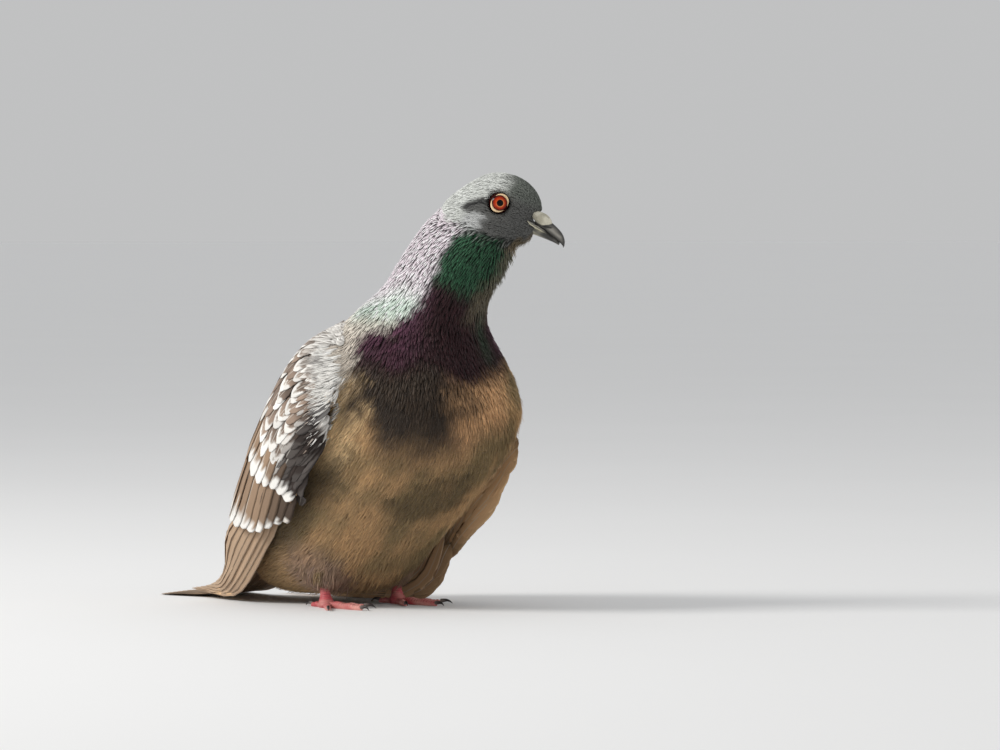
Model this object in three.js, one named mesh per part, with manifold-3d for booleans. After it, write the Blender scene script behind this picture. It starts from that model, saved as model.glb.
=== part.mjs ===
// A feral pigeon standing at rest, life size, its head turned to its left and its left wing held low.
// Millimetres, +Z up. The bird faces -Y, its left side is +X, and the floor is z = 0.
// The body is made whole, and thin cuts part it into head, neck, trunk and thighs.

import * as THREE from "three";
import { LoftGeometry } from "three/addons/geometries/LoftGeometry.js";
import { mergeVertices } from "three/addons/utils/BufferGeometryUtils.js";
import Module from "manifold-3d";

const wasm = await Module();
wasm.setup();

// ---------------------------------------------------------------- driving dimensions

const GAP = 0.3; // between pieces that touch
const WING_BED = 0.5; // between a wing and the body that it lies on
const WELD = 1e-4; // corners closer than this are one corner
const CUTTER = 400; // edge of the boxes that part the body

// The trunk and neck, from the root of the tail up to the inside of the head. Each station is the
// line from back to front across the body: [back y, back z, front y, front z, centre x, half width].
const BODY = [
  [72, 34, 60, 6, 0, 19],
  [62, 54, 44, 3.5, 0, 28],
  [49, 76, 20, 5, 0, 36.5],
  [33, 100, -8, 7, 0, 42.5],
  [16, 122, -40, 30, 0, 46.5],
  [1, 138, -69, 59, 2, 49.5],
  [-9, 149, -87, 88, 4.5, 50.5],
  [-16, 157, -83, 114, 4.5, 40],
  [-23, 165, -71, 139, 7, 28.5],
  [-32, 180, -75, 158, 10, 24.5],
  [-44.5, 197.5, -86, 175, 13.2, 22.5],
  [-59, 209, -95, 187, 15, 17],
];
const BODY_FULLNESS = 2.25; // 2 is an ellipse, and more is squarer
const BODY_RINGS = 22;
const BODY_SIDES = 20;

// The planes that part the neck from the trunk and the head from the neck.
const NECK_BASE = new THREE.Vector3(5, -50, 152);
const NECK_BASE_UP = new THREE.Vector3(0.12, -0.45, 0.88).normalize();
const NECK_TOP = new THREE.Vector3(15, -72, 190);
const NECK_TOP_UP = new THREE.Vector3(0.42, -0.42, 0.8).normalize();

// The head, in its own frame: forward, left and up from the middle of the skull.
const HEAD_PLACE = new THREE.Vector3(18, -83, 204);
const HEAD_TURN = THREE.MathUtils.degToRad(46); // towards the bird's left
const HEAD_BOW = THREE.MathUtils.degToRad(25); // bill down
// [forward, top, bottom, half width]
const HEAD = [
  [-25, -9, -16, 5],
  [-22.5, -3.4, -19, 8.5],
  [-18, 4.2, -20.5, 11],
  [-13, 11.4, -20, 12.4],
  [-6, 16.6, -18.5, 13],
  [4.6, 18.7, -17.5, 12.8],
  [13, 16.9, -16.5, 10.4],
  [19, 12.9, -13.5, 6.7],
  [22, 8.6, -9.6, 4.6],
  [23.8, 5.2, -6.8, 3.8],
];
const HEAD_FULLNESS = 2.1;
const HEAD_RINGS = 13;
const HEAD_SIDES = 18;

// The bill, in the head's frame: [forward, top, bottom, half width]
const UPPER_BILL = [
  [21.5, 5.2, -0.9, 3.6],
  [25.5, 4.5, -1.5, 3.2],
  [29.5, 3.6, -2.2, 2.6],
  [33, 2.4, -2.8, 2.2],
  [36, 0.8, -3.4, 2.1],
  [38.2, -1.6, -4.3, 1.3],
  [39.1, -3.9, -5.2, 0.5],
];
const LOWER_BILL = [
  [21.5, -1.4, -5.6, 3.4],
  [25.5, -2, -5.1, 2.9],
  [30, -2.7, -4.8, 2.3],
  [33.6, -3.2, -4.7, 1.8],
  [36.4, -3.9, -4.9, 1],
];
const BILL_RINGS = 8;
const BILL_SIDES = 10;

// The cere is two soft lobes over the root of the upper bill.
const CERE_PLACE = new THREE.Vector3(24.3, 1.9, 3.3);
const CERE_SIZE = new THREE.Vector3(6.2, 2.7, 2.7);
const CERE_SLOPE = THREE.MathUtils.degToRad(7);
const CERE_SPLAY = THREE.MathUtils.degToRad(13); // the lobes part towards the eyes
const CERE_SIDES = 10;
const CERE_RINGS = 7;

// Each eye is a ball set in a ring of bare skin.
const EYE_RADIUS = 5.2;
const EYE_PLACE = new THREE.Vector3(0.5, 9.3, 1.7);
const EYE_OUTWARD = new THREE.Vector3(0.16, 1, 0.06).normalize();
const RING_RADIUS = 4.35;
const RING_BREADTH = 0.85;
const RING_LIFT = 2.75; // from the ball's middle to the ring's plane
const RING_SIDES = 6;
const SOCKET_RADIUS = 5.55;
const SOCKET_FLOOR = -5.5; // from the ball's middle
const EYE_SIDES = 12;

// The wings. A section runs over the wing from its edge on the back to its lower edge, through
// four points [x, y, z], given for a wing on the +X side. Sections run from the bend to the tip.
const FOLDED_INNER = [
  [[30, -24, 143], [42, -34, 131], [50, -40, 112], [50, -29, 89]],
  [[20, -6, 142], [42, -9, 129], [53, -18, 101], [51, -19, 74]],
  [[15, 16, 125], [43, 13, 110], [52.5, 1, 84], [49, -7, 58]],
  [[12, 43, 91], [41, 37, 78], [49, 18, 60], [47, -1, 48]],
  [[12, 64, 56], [38.5, 58, 44], [45, 32, 38.5], [45.5, 5, 42]],
];
const FOLDED_TIP = [
  [[11, 54, 63.5], [32, 47, 53], [39, 34.5, 44.5], [39, 20, 42]],
  [[10, 71, 46], [32, 66, 36.5], [37, 51, 29], [37, 34, 28]],
  [[7, 87, 27], [22, 80, 20], [30, 70, 14], [33, 54, 10]],
  [[4, 104, 14], [12, 100, 9.5], [20, 92, 6], [25, 80, 4]],
  [[4, 128, 6.2], [8, 128, 5.6], [12, 126, 5], [16, 121, 4.4]],
];
const LOW_INNER = [
  [[33, -28, 141], [45.5, -40, 119], [55.5, -52, 89], [57, -46, 66]],
  [[22, -7, 142], [46.5, -14, 120], [57, -31, 80], [57, -36, 51]],
  [[16, 16, 126], [47.5, 8.5, 101], [56, -12, 62], [53.5, -20, 36]],
  [[13, 44, 91.5], [45, 32, 68], [54, 6, 38], [51.5, -11, 25]],
  [[13, 64, 56], [42, 52, 34], [50, 20, 17.5], [51, -8, 17]],
];
const LOW_TIP = [
  [[14, 50, 62], [37, 38, 46], [47, 14, 32], [48.5, -9, 24]],
  [[14, 63, 43], [34, 53, 30], [44, 28, 17], [47, -2, 10]],
  [[13, 80, 26], [29, 74, 15], [38, 52, 6.4], [43, 14, 2.2]],
  [[14, 98, 12], [24, 93, 7.4], [32, 77, 3.8], [37, 48, 2]],
  [[23, 116, 4.6], [26, 115, 3.8], [29, 112, 3], [32, 104, 2]],
];
const WING_DEPTH = [2.2, 4.6, 3.6, 2.8, 2]; // thickness at each inner section
const TIP_DEPTH = [2.2, 2.2, 2, 1.8, 1.2];
const WING_RINGS = 10;
const WING_SPAN = 8; // steps from the back edge to the lower edge
const WING_RIM = 0.6; // how blunt the edges are, in steps
const WING_PROBE = 0.02; // share of the length that the run of a wing is measured over
const COVERTS_END = 0.62; // where coverts give way to secondaries, as a share of the inner wing
const INNER_LENGTH = 120; // of the inner wing, which turns the gap into a share

// The tail: [y, top z, bottom z, half width]
const TAIL = [
  [60, 31, 20, 12],
  [72, 20, 10.5, 14],
  [86, 10.5, 3.6, 15.5],
  [98, 5.4, 0.6, 17],
  [111, 3.3, 0, 19],
  [124, 2.6, 0, 22.5],
  [136, 2.2, 0, 25],
  [141, 1.8, 0, 21],
];
const TAIL_FULLNESS = 2.6;
const TAIL_RINGS = 11;
const TAIL_SIDES = 14;

// The legs, given for the +X side, from the middle of the foot.
const FOOT_PLACE = new THREE.Vector3(24, 0, 0);
const LIMB_RINGS = 6;
// Feathered thigh: [centre x, centre y, centre z, half width, half depth]
const THIGH = [
  [-3, 9, 40, 12, 17],
  [-1, 6, 27, 11, 15],
  [0, 3, 17, 8, 11],
  [0, 1.5, 12, 4.6, 6.5],
  [0, 1.2, 10.6, 3, 4],
];
const THIGH_SIDES = 12;
// Bare shank and the pad it stands on: [x, y, z, half width, half depth]
const SHANK = [
  [0, 1.6, 14, 2.3, 2.6],
  [0, 1.2, 9, 2.3, 2.6],
  [0, 0.6, 5.4, 2.7, 3.2],
  [0, 0, 3, 3.8, 4.2],
  [0, 0, 1.2, 4.1, 4.6],
  [0, 0, 0, 3.4, 3.9],
];
const SHANK_SIDES = 8;
// Each toe: its direction turned outward from straight ahead, its length and its root's radius.
const TOES = [
  { name: "inner", turn: -30, length: 21, radius: 2 },
  { name: "middle", turn: 2, length: 29, radius: 2.2 },
  { name: "outer", turn: 38, length: 23, radius: 2 },
  { name: "hind", turn: 186, length: 13, radius: 1.9 },
];
const TOE_CUT = 7.6; // from the middle of the foot to where a toe is parted from its pad
const TOE_CUT_WIDTH = 2.9; // in root radii
const TOE_KNUCKLES = 3;
const TOE_SWELL = 0.09; // of the radius, at each knuckle
const TOE_FLATNESS = 0.72; // height of a toe's middle line, in radii
const TOE_ROUNDED = 0.1; // share of the toe that its round end takes
const TOE_END = 0.2; // squared share of the radius left at the very end
const TOE_RINGS = 9;
const TOE_SIDES = 8;
const TOE_TIP = 0.66; // the tip's radius, as a share of the root's
const CLAW_LENGTH = 6;
const CLAW_RADIUS = 1.15;
const CLAW_TAPER = 0.86;
const CLAW_WIDTH = 0.8; // in radii
const CLAW_BEND = THREE.MathUtils.degToRad(62);
const CLAW_HEIGHT = 1.5; // of its middle line, at the toe
const CLAW_ARCH = 0.9;
const CLAW_DROP = 1.15; // from root to point
const CLAW_RINGS = 4;
const CLAW_SIDES = 6;

// ---------------------------------------------------------------- colours

const finish = (color, roughness, metalness = 0) => ({ color, roughness, metalness });
const SLATE = finish(0x56565a, 0.8);
const GREEN_PURPLE = finish(0x4c4650, 0.55, 0.15);
const OLIVE = finish(0x6c6454, 0.85);
const CHECKER = finish(0xc4b8ae, 0.8);
const BROWN = finish(0x8f7563, 0.75);
const TAN = finish(0xb0927a, 0.75);
const HORN = finish(0x46443f, 0.45);
const CHALK = finish(0xd0cbc2, 0.7);
const IRIS = finish(0xc4481b, 0.12);
const CREAM = finish(0xe8cda2, 0.6);
const RED_SKIN = finish(0xc4545a, 0.6);
const CLAW_GREY = finish(0x3b3634, 0.45);

// ---------------------------------------------------------------- helpers

/** A point on the smooth curve through four numbers, between the middle two. */
function smoothStep(a, b, c, d, t) {
  const slopeIn = (c - a) / 2;
  const slopeOut = (d - b) / 2;
  const rise = c - b;
  const square = 3 * rise - 2 * slopeIn - slopeOut;
  const cube = slopeIn + slopeOut - 2 * rise;
  return b + t * (slopeIn + t * (square + t * cube));
}

/** The row of numbers a share of the way along a table of stations. */
function stationAt(table, share) {
  const last = table.length - 1;
  const at = Math.min(Math.max(share, 0), 1) * last;
  const k = Math.min(Math.floor(at), last - 1);
  const pick = (row, i) => table[Math.min(Math.max(row, 0), last)][i];
  return table[0].map((_, i) =>
    smoothStep(pick(k - 1, i), pick(k, i), pick(k + 1, i), pick(k + 2, i), at - k),
  );
}

/** Rings made at even shares along a table of stations. */
function ringsAlong(count, ringAt) {
  return Array.from({ length: count + 1 }, (_, i) => ringAt(i / count));
}

/** Cosine and sine of each step round a ring, pushed out towards a square by the fullness. */
function roundSteps(sides, fullness = 2) {
  const push = (value) => Math.sign(value) * Math.abs(value) ** (2 / fullness);
  return Array.from({ length: sides }, (_, j) => {
    const angle = (2 * Math.PI * j) / sides;
    return [push(Math.cos(angle)), push(Math.sin(angle))];
  });
}

/** The middle of a ring, and its area as a vector square to it. */
function ringMeasure(ring) {
  const middle = new THREE.Vector3();
  ring.forEach((point) => middle.addScaledVector(point, 1 / ring.length));
  const area = new THREE.Vector3();
  ring.forEach((point, j) => {
    const next = ring[(j + 1) % ring.length];
    area.add(point.clone().sub(middle).cross(next.clone().sub(middle)));
  });
  return { middle, area };
}

/**
 * A closed loft through rings, facing out whichever way the rings turn.
 * Rings that are zipped shut at both ends need no caps.
 */
function loft(rings, caps = true) {
  const measures = rings.map(ringMeasure);
  let turn = 0;
  for (let i = 1; i < rings.length; i += 1) {
    turn += measures[i].area.dot(measures[i].middle.clone().sub(measures[i - 1].middle));
  }
  const ordered = turn > 0 ? rings : rings.map((ring) => [...ring].reverse());
  return new LoftGeometry(ordered, { capStart: caps, capEnd: caps });
}

/** A ring whose two halves both lie on the middle line of a thin ring. */
function zipped(ring) {
  return ring.map((point, i) => point.clone().lerp(ring[ring.length - 1 - i], 0.5));
}

/** A manifold solid of a closed geometry. */
function solidOf(geometry) {
  const plain = new THREE.BufferGeometry();
  plain.setAttribute("position", geometry.getAttribute("position"));
  plain.setIndex(geometry.getIndex());
  const welded = mergeVertices(plain, WELD);
  const corners = welded.getIndex().array;
  const faces = [];
  for (let i = 0; i < corners.length; i += 3) {
    const [a, b, c] = corners.slice(i, i + 3);
    if (a !== b && b !== c && c !== a) {
      faces.push(a, b, c);
    }
  }
  const mesh = new wasm.Mesh({
    numProp: 3,
    vertProperties: new Float32Array(welded.getAttribute("position").array),
    triVerts: new Uint32Array(faces),
  });
  return new wasm.Manifold(mesh);
}

/** The geometry of a manifold solid. */
function geometryOf(solid) {
  const { vertProperties, triVerts } = solid.getMesh();
  const geometry = new THREE.BufferGeometry();
  geometry.setAttribute("position", new THREE.BufferAttribute(vertProperties, 3));
  geometry.setIndex(new THREE.BufferAttribute(triVerts, 1));
  geometry.computeVertexNormals();
  return geometry;
}

/** A named mesh of a solid, with its own material. */
function piece(name, solid, look) {
  const geometry = geometryOf(solid);
  const mesh = new THREE.Mesh(geometry, new THREE.MeshStandardMaterial(look));
  mesh.name = name;
  return mesh;
}

/** A large box solid with its bottom face through a point, square to a direction. */
function halfSpace(point, direction) {
  const box = new THREE.BoxGeometry(CUTTER, CUTTER, CUTTER);
  box.translate(0, 0, CUTTER / 2);
  const turn = new THREE.Quaternion().setFromUnitVectors(new THREE.Vector3(0, 0, 1), direction);
  box.applyQuaternion(turn);
  box.translate(point.x, point.y, point.z);
  return solidOf(box);
}

/** Parts a solid at a plane, leaving the gap: [the side the direction points to, the other side]. */
function partAt(solid, point, direction) {
  const half = direction.clone().multiplyScalar(GAP / 2);
  const ahead = solid.intersect(halfSpace(point.clone().add(half), direction));
  const behind = solid.subtract(halfSpace(point.clone().sub(half), direction));
  return [ahead, behind];
}

// ---------------------------------------------------------------- trunk and neck

function bodyRing(share) {
  const [backY, backZ, frontY, frontZ, x, half] = stationAt(BODY, share);
  const middleY = (backY + frontY) / 2;
  const middleZ = (backZ + frontZ) / 2;
  return roundSteps(BODY_SIDES, BODY_FULLNESS).map(
    ([along, across]) =>
      new THREE.Vector3(
        x + half * across,
        middleY + ((backY - frontY) / 2) * along,
        middleZ + ((backZ - frontZ) / 2) * along,
      ),
  );
}

const bodySolid = () => solidOf(loft(ringsAlong(BODY_RINGS, bodyRing)));

// ---------------------------------------------------------------- head

/** The head's frame: forward, left and up from the middle of the skull. */
function headMatrix() {
  const forward = new THREE.Vector3(
    Math.sin(HEAD_TURN) * Math.cos(HEAD_BOW),
    -Math.cos(HEAD_TURN) * Math.cos(HEAD_BOW),
    -Math.sin(HEAD_BOW),
  );
  const left = new THREE.Vector3(Math.cos(HEAD_TURN), Math.sin(HEAD_TURN), 0);
  const up = new THREE.Vector3().crossVectors(forward, left);
  return new THREE.Matrix4().makeBasis(forward, left, up).setPosition(HEAD_PLACE);
}

/** A loft along the head's forward axis, from a table of [forward, top, bottom, half width]. */
function headLoft(table, rings, sides, { grow = 0, fullness = 2 } = {}) {
  return loft(
    ringsAlong(rings, (share) => {
      const [forward, top, bottom, half] = stationAt(table, share);
      const middle = (top + bottom) / 2;
      return roundSteps(sides, fullness).map(
        ([along, across]) =>
          new THREE.Vector3(
            forward + grow * (2 * share - 1),
            (half + grow) * across,
            middle + ((top - bottom) / 2 + grow) * along,
          ),
      );
    }),
  );
}

const upperBillSolid = (grow) => solidOf(headLoft(UPPER_BILL, BILL_RINGS, BILL_SIDES, { grow }));
const lowerBillSolid = (grow) => solidOf(headLoft(LOWER_BILL, BILL_RINGS, BILL_SIDES, { grow }));

/** The two lobes of the cere as one solid, in the head's frame. */
function cereSolid(grow = 0) {
  const [right, left] = [-1, 1].map((side) => {
    const lobe = new THREE.SphereGeometry(1, CERE_SIDES, CERE_RINGS);
    lobe.scale(CERE_SIZE.x + grow, CERE_SIZE.y + grow, CERE_SIZE.z + grow);
    lobe.rotateY(CERE_SLOPE);
    lobe.rotateZ(-side * CERE_SPLAY);
    lobe.translate(CERE_PLACE.x, side * CERE_PLACE.y, CERE_PLACE.z);
    return solidOf(lobe);
  });
  return right.add(left);
}

/** A geometry made round the +Z axis, set at an eye's place and turned to look its way. */
function atEye(geometry, side) {
  const mirror = new THREE.Vector3(1, side, 1);
  const place = EYE_PLACE.clone().multiply(mirror);
  const outward = EYE_OUTWARD.clone().multiply(mirror);
  const turn = new THREE.Quaternion().setFromUnitVectors(new THREE.Vector3(0, 0, 1), outward);
  geometry.applyQuaternion(turn);
  geometry.translate(place.x, place.y, place.z);
  return solidOf(geometry);
}

function eyeSolid(side, grow = 0) {
  const ball = new THREE.SphereGeometry(EYE_RADIUS + grow, EYE_SIDES, EYE_SIDES / 2);
  ball.rotateX(Math.PI / 2);
  return atEye(ball, side);
}

/** The ring of bare skin round an eye. */
function eyeRingSolid(side) {
  const ring = new THREE.TorusGeometry(RING_RADIUS, RING_BREADTH, RING_SIDES, EYE_SIDES);
  ring.translate(0, 0, RING_LIFT);
  return atEye(ring, side).subtract(eyeSolid(side, GAP));
}

/** The round socket that an eye and its ring sit in. */
function socketSolid(side) {
  const depth = EYE_RADIUS - SOCKET_FLOOR;
  const socket = new THREE.CylinderGeometry(SOCKET_RADIUS, SOCKET_RADIUS, depth, EYE_SIDES);
  socket.rotateX(Math.PI / 2);
  socket.translate(0, 0, SOCKET_FLOOR + depth / 2);
  return atEye(socket, side);
}

// ---------------------------------------------------------------- wings

/** A wing's sections as flat rows of numbers, on one side of the bird. */
function wingTable(sections, side) {
  return sections.map((section) => section.flatMap(([x, y, z]) => [side * x, y, z]));
}

/** The line of a wing's inner face at a section, as points from its back edge to its lower edge. */
function sectionLine(numbers) {
  const corners = [0, 3, 6, 9].map((i) => new THREE.Vector3(...numbers.slice(i, i + 3)));
  return new THREE.CatmullRomCurve3(corners).getPoints(WING_SPAN);
}

/** How far a grown wing's edges reach past the back edge and the lower edge, at each step. */
function edgeGrowth(step, grow) {
  if (step === 0) {
    return -grow;
  }
  return step === WING_SPAN ? grow : 0;
}

/** A leaf-shaped solid through a wing's sections, over a part of its length. */
function wingSolid({ table, depths, side, from, to }, grow = 0) {
  const depthTable = depths.map((depth) => [depth]);
  const rings = ringsAlong(Math.ceil(WING_RINGS * (to - from)), (t) => {
    const share = from + (to - from) * t;
    const line = sectionLine(stationAt(table, share));
    const ahead = sectionLine(stationAt(table, share + WING_PROBE));
    const astern = sectionLine(stationAt(table, share - WING_PROBE));
    const [depth] = stationAt(depthTable, share);
    const inner = [];
    const outer = [];
    line.forEach((point, i) => {
      const before = line[Math.max(i - 1, 0)];
      const across = line[Math.min(i + 1, WING_SPAN)].clone().sub(before).normalize();
      const along = ahead[i].clone().sub(astern[i]).normalize();
      const inward = along.clone().cross(across).normalize().multiplyScalar(side);
      const rim = Math.sin((Math.PI * (i + WING_RIM)) / (WING_SPAN + 2 * WING_RIM)) ** 0.5;
      const place = point.clone();
      place.addScaledVector(along, grow * (2 * t - 1));
      place.addScaledVector(across, edgeGrowth(i, grow));
      inner.push(place.clone().addScaledVector(inward, grow));
      outer.push(place.clone().addScaledVector(inward, -depth * rim - grow));
    });
    return [...inner, ...outer.reverse()];
  });
  return solidOf(loft([zipped(rings[0]), ...rings, zipped(rings.at(-1))], false));
}

/** The three parts of one wing, each with its name and finish. */
function wingParts({ name, side, inner, tip }) {
  const half = GAP / 2 / INNER_LENGTH;
  const hand = { table: wingTable(inner, side), depths: WING_DEPTH, side };
  const tipHand = { table: wingTable(tip, side), depths: TIP_DEPTH, side };
  return [
    { name: `wing_coverts_${name}`, look: CHECKER, ...hand, from: 0, to: COVERTS_END - half },
    { name: `wing_secondaries_${name}`, look: BROWN, ...hand, from: COVERTS_END + half, to: 1 },
    { name: `wing_primaries_${name}`, look: TAN, ...tipHand, from: 0, to: 1 },
  ];
}

// ---------------------------------------------------------------- tail

function tailSolid(grow = 0) {
  const rings = ringsAlong(TAIL_RINGS, (share) => {
    const [y, top, bottom, half] = stationAt(TAIL, share);
    const low = Math.max(bottom, 0) - grow;
    const middle = (top + grow + low) / 2;
    const depth = (top + grow - low) / 2;
    const place = y + grow * (2 * share - 1);
    return roundSteps(TAIL_SIDES, TAIL_FULLNESS).map(
      ([along, across]) =>
        new THREE.Vector3((half + grow) * across, place, middle + depth * along),
    );
  });
  return solidOf(loft(rings));
}

// ---------------------------------------------------------------- legs

/** A round limb through stations of [x, y, z, half width, half depth], on one side of the bird. */
function limbSolid(table, sides, side, grow = 0) {
  const rings = ringsAlong(LIMB_RINGS, (share) => {
    const [x, y, z, width, depth] = stationAt(table, share);
    return roundSteps(sides).map(
      ([along, across]) =>
        new THREE.Vector3(
          side * (FOOT_PLACE.x + x) + (width + grow) * across,
          FOOT_PLACE.y + y + (depth + grow) * along,
          Math.max(z - grow * (2 * share - 1), 0),
        ),
    );
  });
  return solidOf(loft(rings));
}

const thighSolid = (side, grow) => limbSolid(THIGH, THIGH_SIDES, side, grow);
const shankSolid = (side, grow) => limbSolid(SHANK, SHANK_SIDES, side, grow);

/** The level direction a toe points in. */
function toeDirection(toe, side) {
  const turn = THREE.MathUtils.degToRad(toe.turn);
  return new THREE.Vector3(side * Math.sin(turn), -Math.cos(turn), 0);
}

/** A point on the floor some way from the middle of a foot, in a toe's direction. */
function alongToe(toe, side, reach) {
  const middle = new THREE.Vector3(side * FOOT_PLACE.x, FOOT_PLACE.y, FOOT_PLACE.z);
  return middle.addScaledVector(toeDirection(toe, side), reach);
}

/** The level direction across a toe. */
function acrossToe(toe, side) {
  const forward = toeDirection(toe, side);
  return new THREE.Vector3(-forward.y, forward.x, 0);
}

/** A toe with swollen pads and a flat sole, from inside the foot's pad to its tip. */
function toeSolid(toe, side) {
  const sideways = acrossToe(toe, side);
  const rings = ringsAlong(TOE_RINGS, (share) => {
    const swell = 1 + TOE_SWELL * Math.cos(2 * Math.PI * TOE_KNUCKLES * share);
    const intoEnd = Math.max((share - 1 + TOE_ROUNDED) / TOE_ROUNDED, 0);
    const end = Math.sqrt(Math.max(1 - intoEnd ** 2, TOE_END));
    const radius = toe.radius * swell * end * (1 - (1 - TOE_TIP) * share);
    return roundSteps(TOE_SIDES).map(([along, across]) => {
      const point = alongToe(toe, side, toe.length * share);
      point.addScaledVector(sideways, radius * across);
      point.z = Math.max(radius * (TOE_FLATNESS + along), 0);
      return point;
    });
  });
  return solidOf(loft(rings));
}

/** A curved claw at a toe's tip, its point just off the floor. */
function clawSolid(toe, side) {
  const sideways = acrossToe(toe, side);
  const start = toe.length + GAP;
  const rings = ringsAlong(CLAW_RINGS, (share) => {
    const bend = share * CLAW_BEND;
    const radius = CLAW_RADIUS * (1 - CLAW_TAPER * share);
    const reach = start + CLAW_LENGTH * Math.sin(bend);
    const height = CLAW_HEIGHT + CLAW_ARCH * Math.sin(Math.PI * share) - CLAW_DROP * share;
    return roundSteps(CLAW_SIDES).map(([along, across]) => {
      const point = alongToe(toe, side, reach + radius * along * Math.sin(bend));
      point.addScaledVector(sideways, radius * CLAW_WIDTH * across);
      point.z = height + radius * along * Math.cos(bend);
      return point;
    });
  });
  return solidOf(loft(rings));
}

/** A box that starts some way along a toe and takes in the rest of it. */
function toeCutter(toe, side, distance) {
  const forward = toeDirection(toe, side);
  const box = new THREE.BoxGeometry(TOE_CUT_WIDTH * toe.radius, CUTTER, CUTTER);
  box.translate(0, -CUTTER / 2, 0);
  box.rotateZ(Math.atan2(forward.x, -forward.y));
  const place = alongToe(toe, side, distance);
  box.translate(place.x, place.y, place.z);
  return solidOf(box);
}

/** The shank with the pad it stands on, up to where the toes are parted from it. */
function padSolid(side) {
  let pad = shankSolid(side);
  for (const toe of TOES) {
    pad = pad.add(toeSolid(toe, side));
  }
  for (const toe of TOES) {
    pad = pad.subtract(toeCutter(toe, side, TOE_CUT - GAP / 2));
  }
  return pad;
}

// ---------------------------------------------------------------- assembly

const SIDES = [
  { name: "left", side: 1, inner: LOW_INNER, tip: LOW_TIP },
  { name: "right", side: -1, inner: FOLDED_INNER, tip: FOLDED_TIP },
];

const pigeon = new THREE.Group();
const headFrame = headMatrix();
const headGroup = new THREE.Group();
headGroup.applyMatrix4(headFrame);
pigeon.add(headGroup);

headGroup.add(piece("upper_bill", upperBillSolid(), HORN));
headGroup.add(piece("lower_bill", lowerBillSolid(), HORN));
headGroup.add(piece("cere", cereSolid().subtract(upperBillSolid(GAP)), CHALK));
for (const { name, side } of SIDES) {
  headGroup.add(piece(`eye_${name}`, eyeSolid(side), IRIS));
  headGroup.add(piece(`eye_ring_${name}`, eyeRingSolid(side), CREAM));
}

// The body whole, with room cut for what is set into it.
const skull = headLoft(HEAD, HEAD_RINGS, HEAD_SIDES, { fullness: HEAD_FULLNESS });
const setInHead = [upperBillSolid(GAP), lowerBillSolid(GAP), cereSolid(GAP)];
setInHead.push(...SIDES.map(({ side }) => socketSolid(side)));
let body = bodySolid().add(solidOf(skull.applyMatrix4(headFrame)));
for (const solid of setInHead) {
  body = body.subtract(solidOf(geometryOf(solid).applyMatrix4(headFrame)));
}

for (const wing of SIDES.flatMap(wingParts)) {
  pigeon.add(piece(wing.name, wingSolid(wing), wing.look));
  body = body.subtract(wingSolid(wing, WING_BED));
}

pigeon.add(piece("tail", tailSolid(), TAN));
body = body.subtract(tailSolid(GAP));

for (const { name, side } of SIDES) {
  pigeon.add(piece(`thigh_${name}`, thighSolid(side).subtract(shankSolid(side, GAP)), OLIVE));
  body = body.subtract(thighSolid(side, GAP));
  pigeon.add(piece(`foot_${name}`, padSolid(side), RED_SKIN));
  for (const toe of TOES) {
    const free = toeSolid(toe, side).intersect(toeCutter(toe, side, TOE_CUT + GAP / 2));
    pigeon.add(piece(`toe_${toe.name}_${name}`, free, RED_SKIN));
    pigeon.add(piece(`claw_${toe.name}_${name}`, clawSolid(toe, side), CLAW_GREY));
  }
}

// The body parted.
const [aboveTrunk, trunk] = partAt(body, NECK_BASE, NECK_BASE_UP);
const [head, neck] = partAt(aboveTrunk, NECK_TOP, NECK_TOP_UP);
pigeon.add(piece("trunk", trunk, OLIVE));
pigeon.add(piece("neck", neck, GREEN_PURPLE));
pigeon.add(piece("head", head, SLATE));

// The origin is on the floor, under the middle of the bird's box.
const box = new THREE.Box3().setFromObject(pigeon, true);
pigeon.position.set(-(box.min.x + box.max.x) / 2, -(box.min.y + box.max.y) / 2, 0);

export default pigeon;
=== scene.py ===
"""A feral pigeon standing at rest: one skin under a coat of solid feathers, with eyes, bill and feet of
their own.

Shapes are worked out in millimetres from the middle of the feet (-Y ahead, +X the bird's left, floor z = 0),
and moved into the frame, in metres, when a mesh is made."""

import math

import bpy
import numpy as np
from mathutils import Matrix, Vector
from mathutils.bvhtree import BVHTree
from mathutils.kdtree import KDTree


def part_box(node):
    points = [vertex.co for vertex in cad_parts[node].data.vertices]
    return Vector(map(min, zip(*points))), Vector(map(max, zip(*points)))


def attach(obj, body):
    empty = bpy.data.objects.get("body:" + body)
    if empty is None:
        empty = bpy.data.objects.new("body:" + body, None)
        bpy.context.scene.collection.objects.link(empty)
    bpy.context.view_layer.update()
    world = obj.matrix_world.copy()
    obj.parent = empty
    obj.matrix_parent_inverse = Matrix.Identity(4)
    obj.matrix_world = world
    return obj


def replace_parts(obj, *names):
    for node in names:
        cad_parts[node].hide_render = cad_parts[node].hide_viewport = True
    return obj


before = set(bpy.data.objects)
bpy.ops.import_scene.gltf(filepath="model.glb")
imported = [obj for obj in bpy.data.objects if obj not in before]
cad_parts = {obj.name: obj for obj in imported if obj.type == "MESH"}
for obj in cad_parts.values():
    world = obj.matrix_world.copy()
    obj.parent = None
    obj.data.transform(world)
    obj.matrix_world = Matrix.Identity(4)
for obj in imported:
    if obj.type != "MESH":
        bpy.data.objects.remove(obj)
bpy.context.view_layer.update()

ROOT = "root"
# mm behind the feet: where the tail feathers start, and where the tail node ends
TAIL_ROOT, TAIL_END = 52.0, 141.0

# ------------------------------------------------------------------ the bird's shape, in mm

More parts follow.
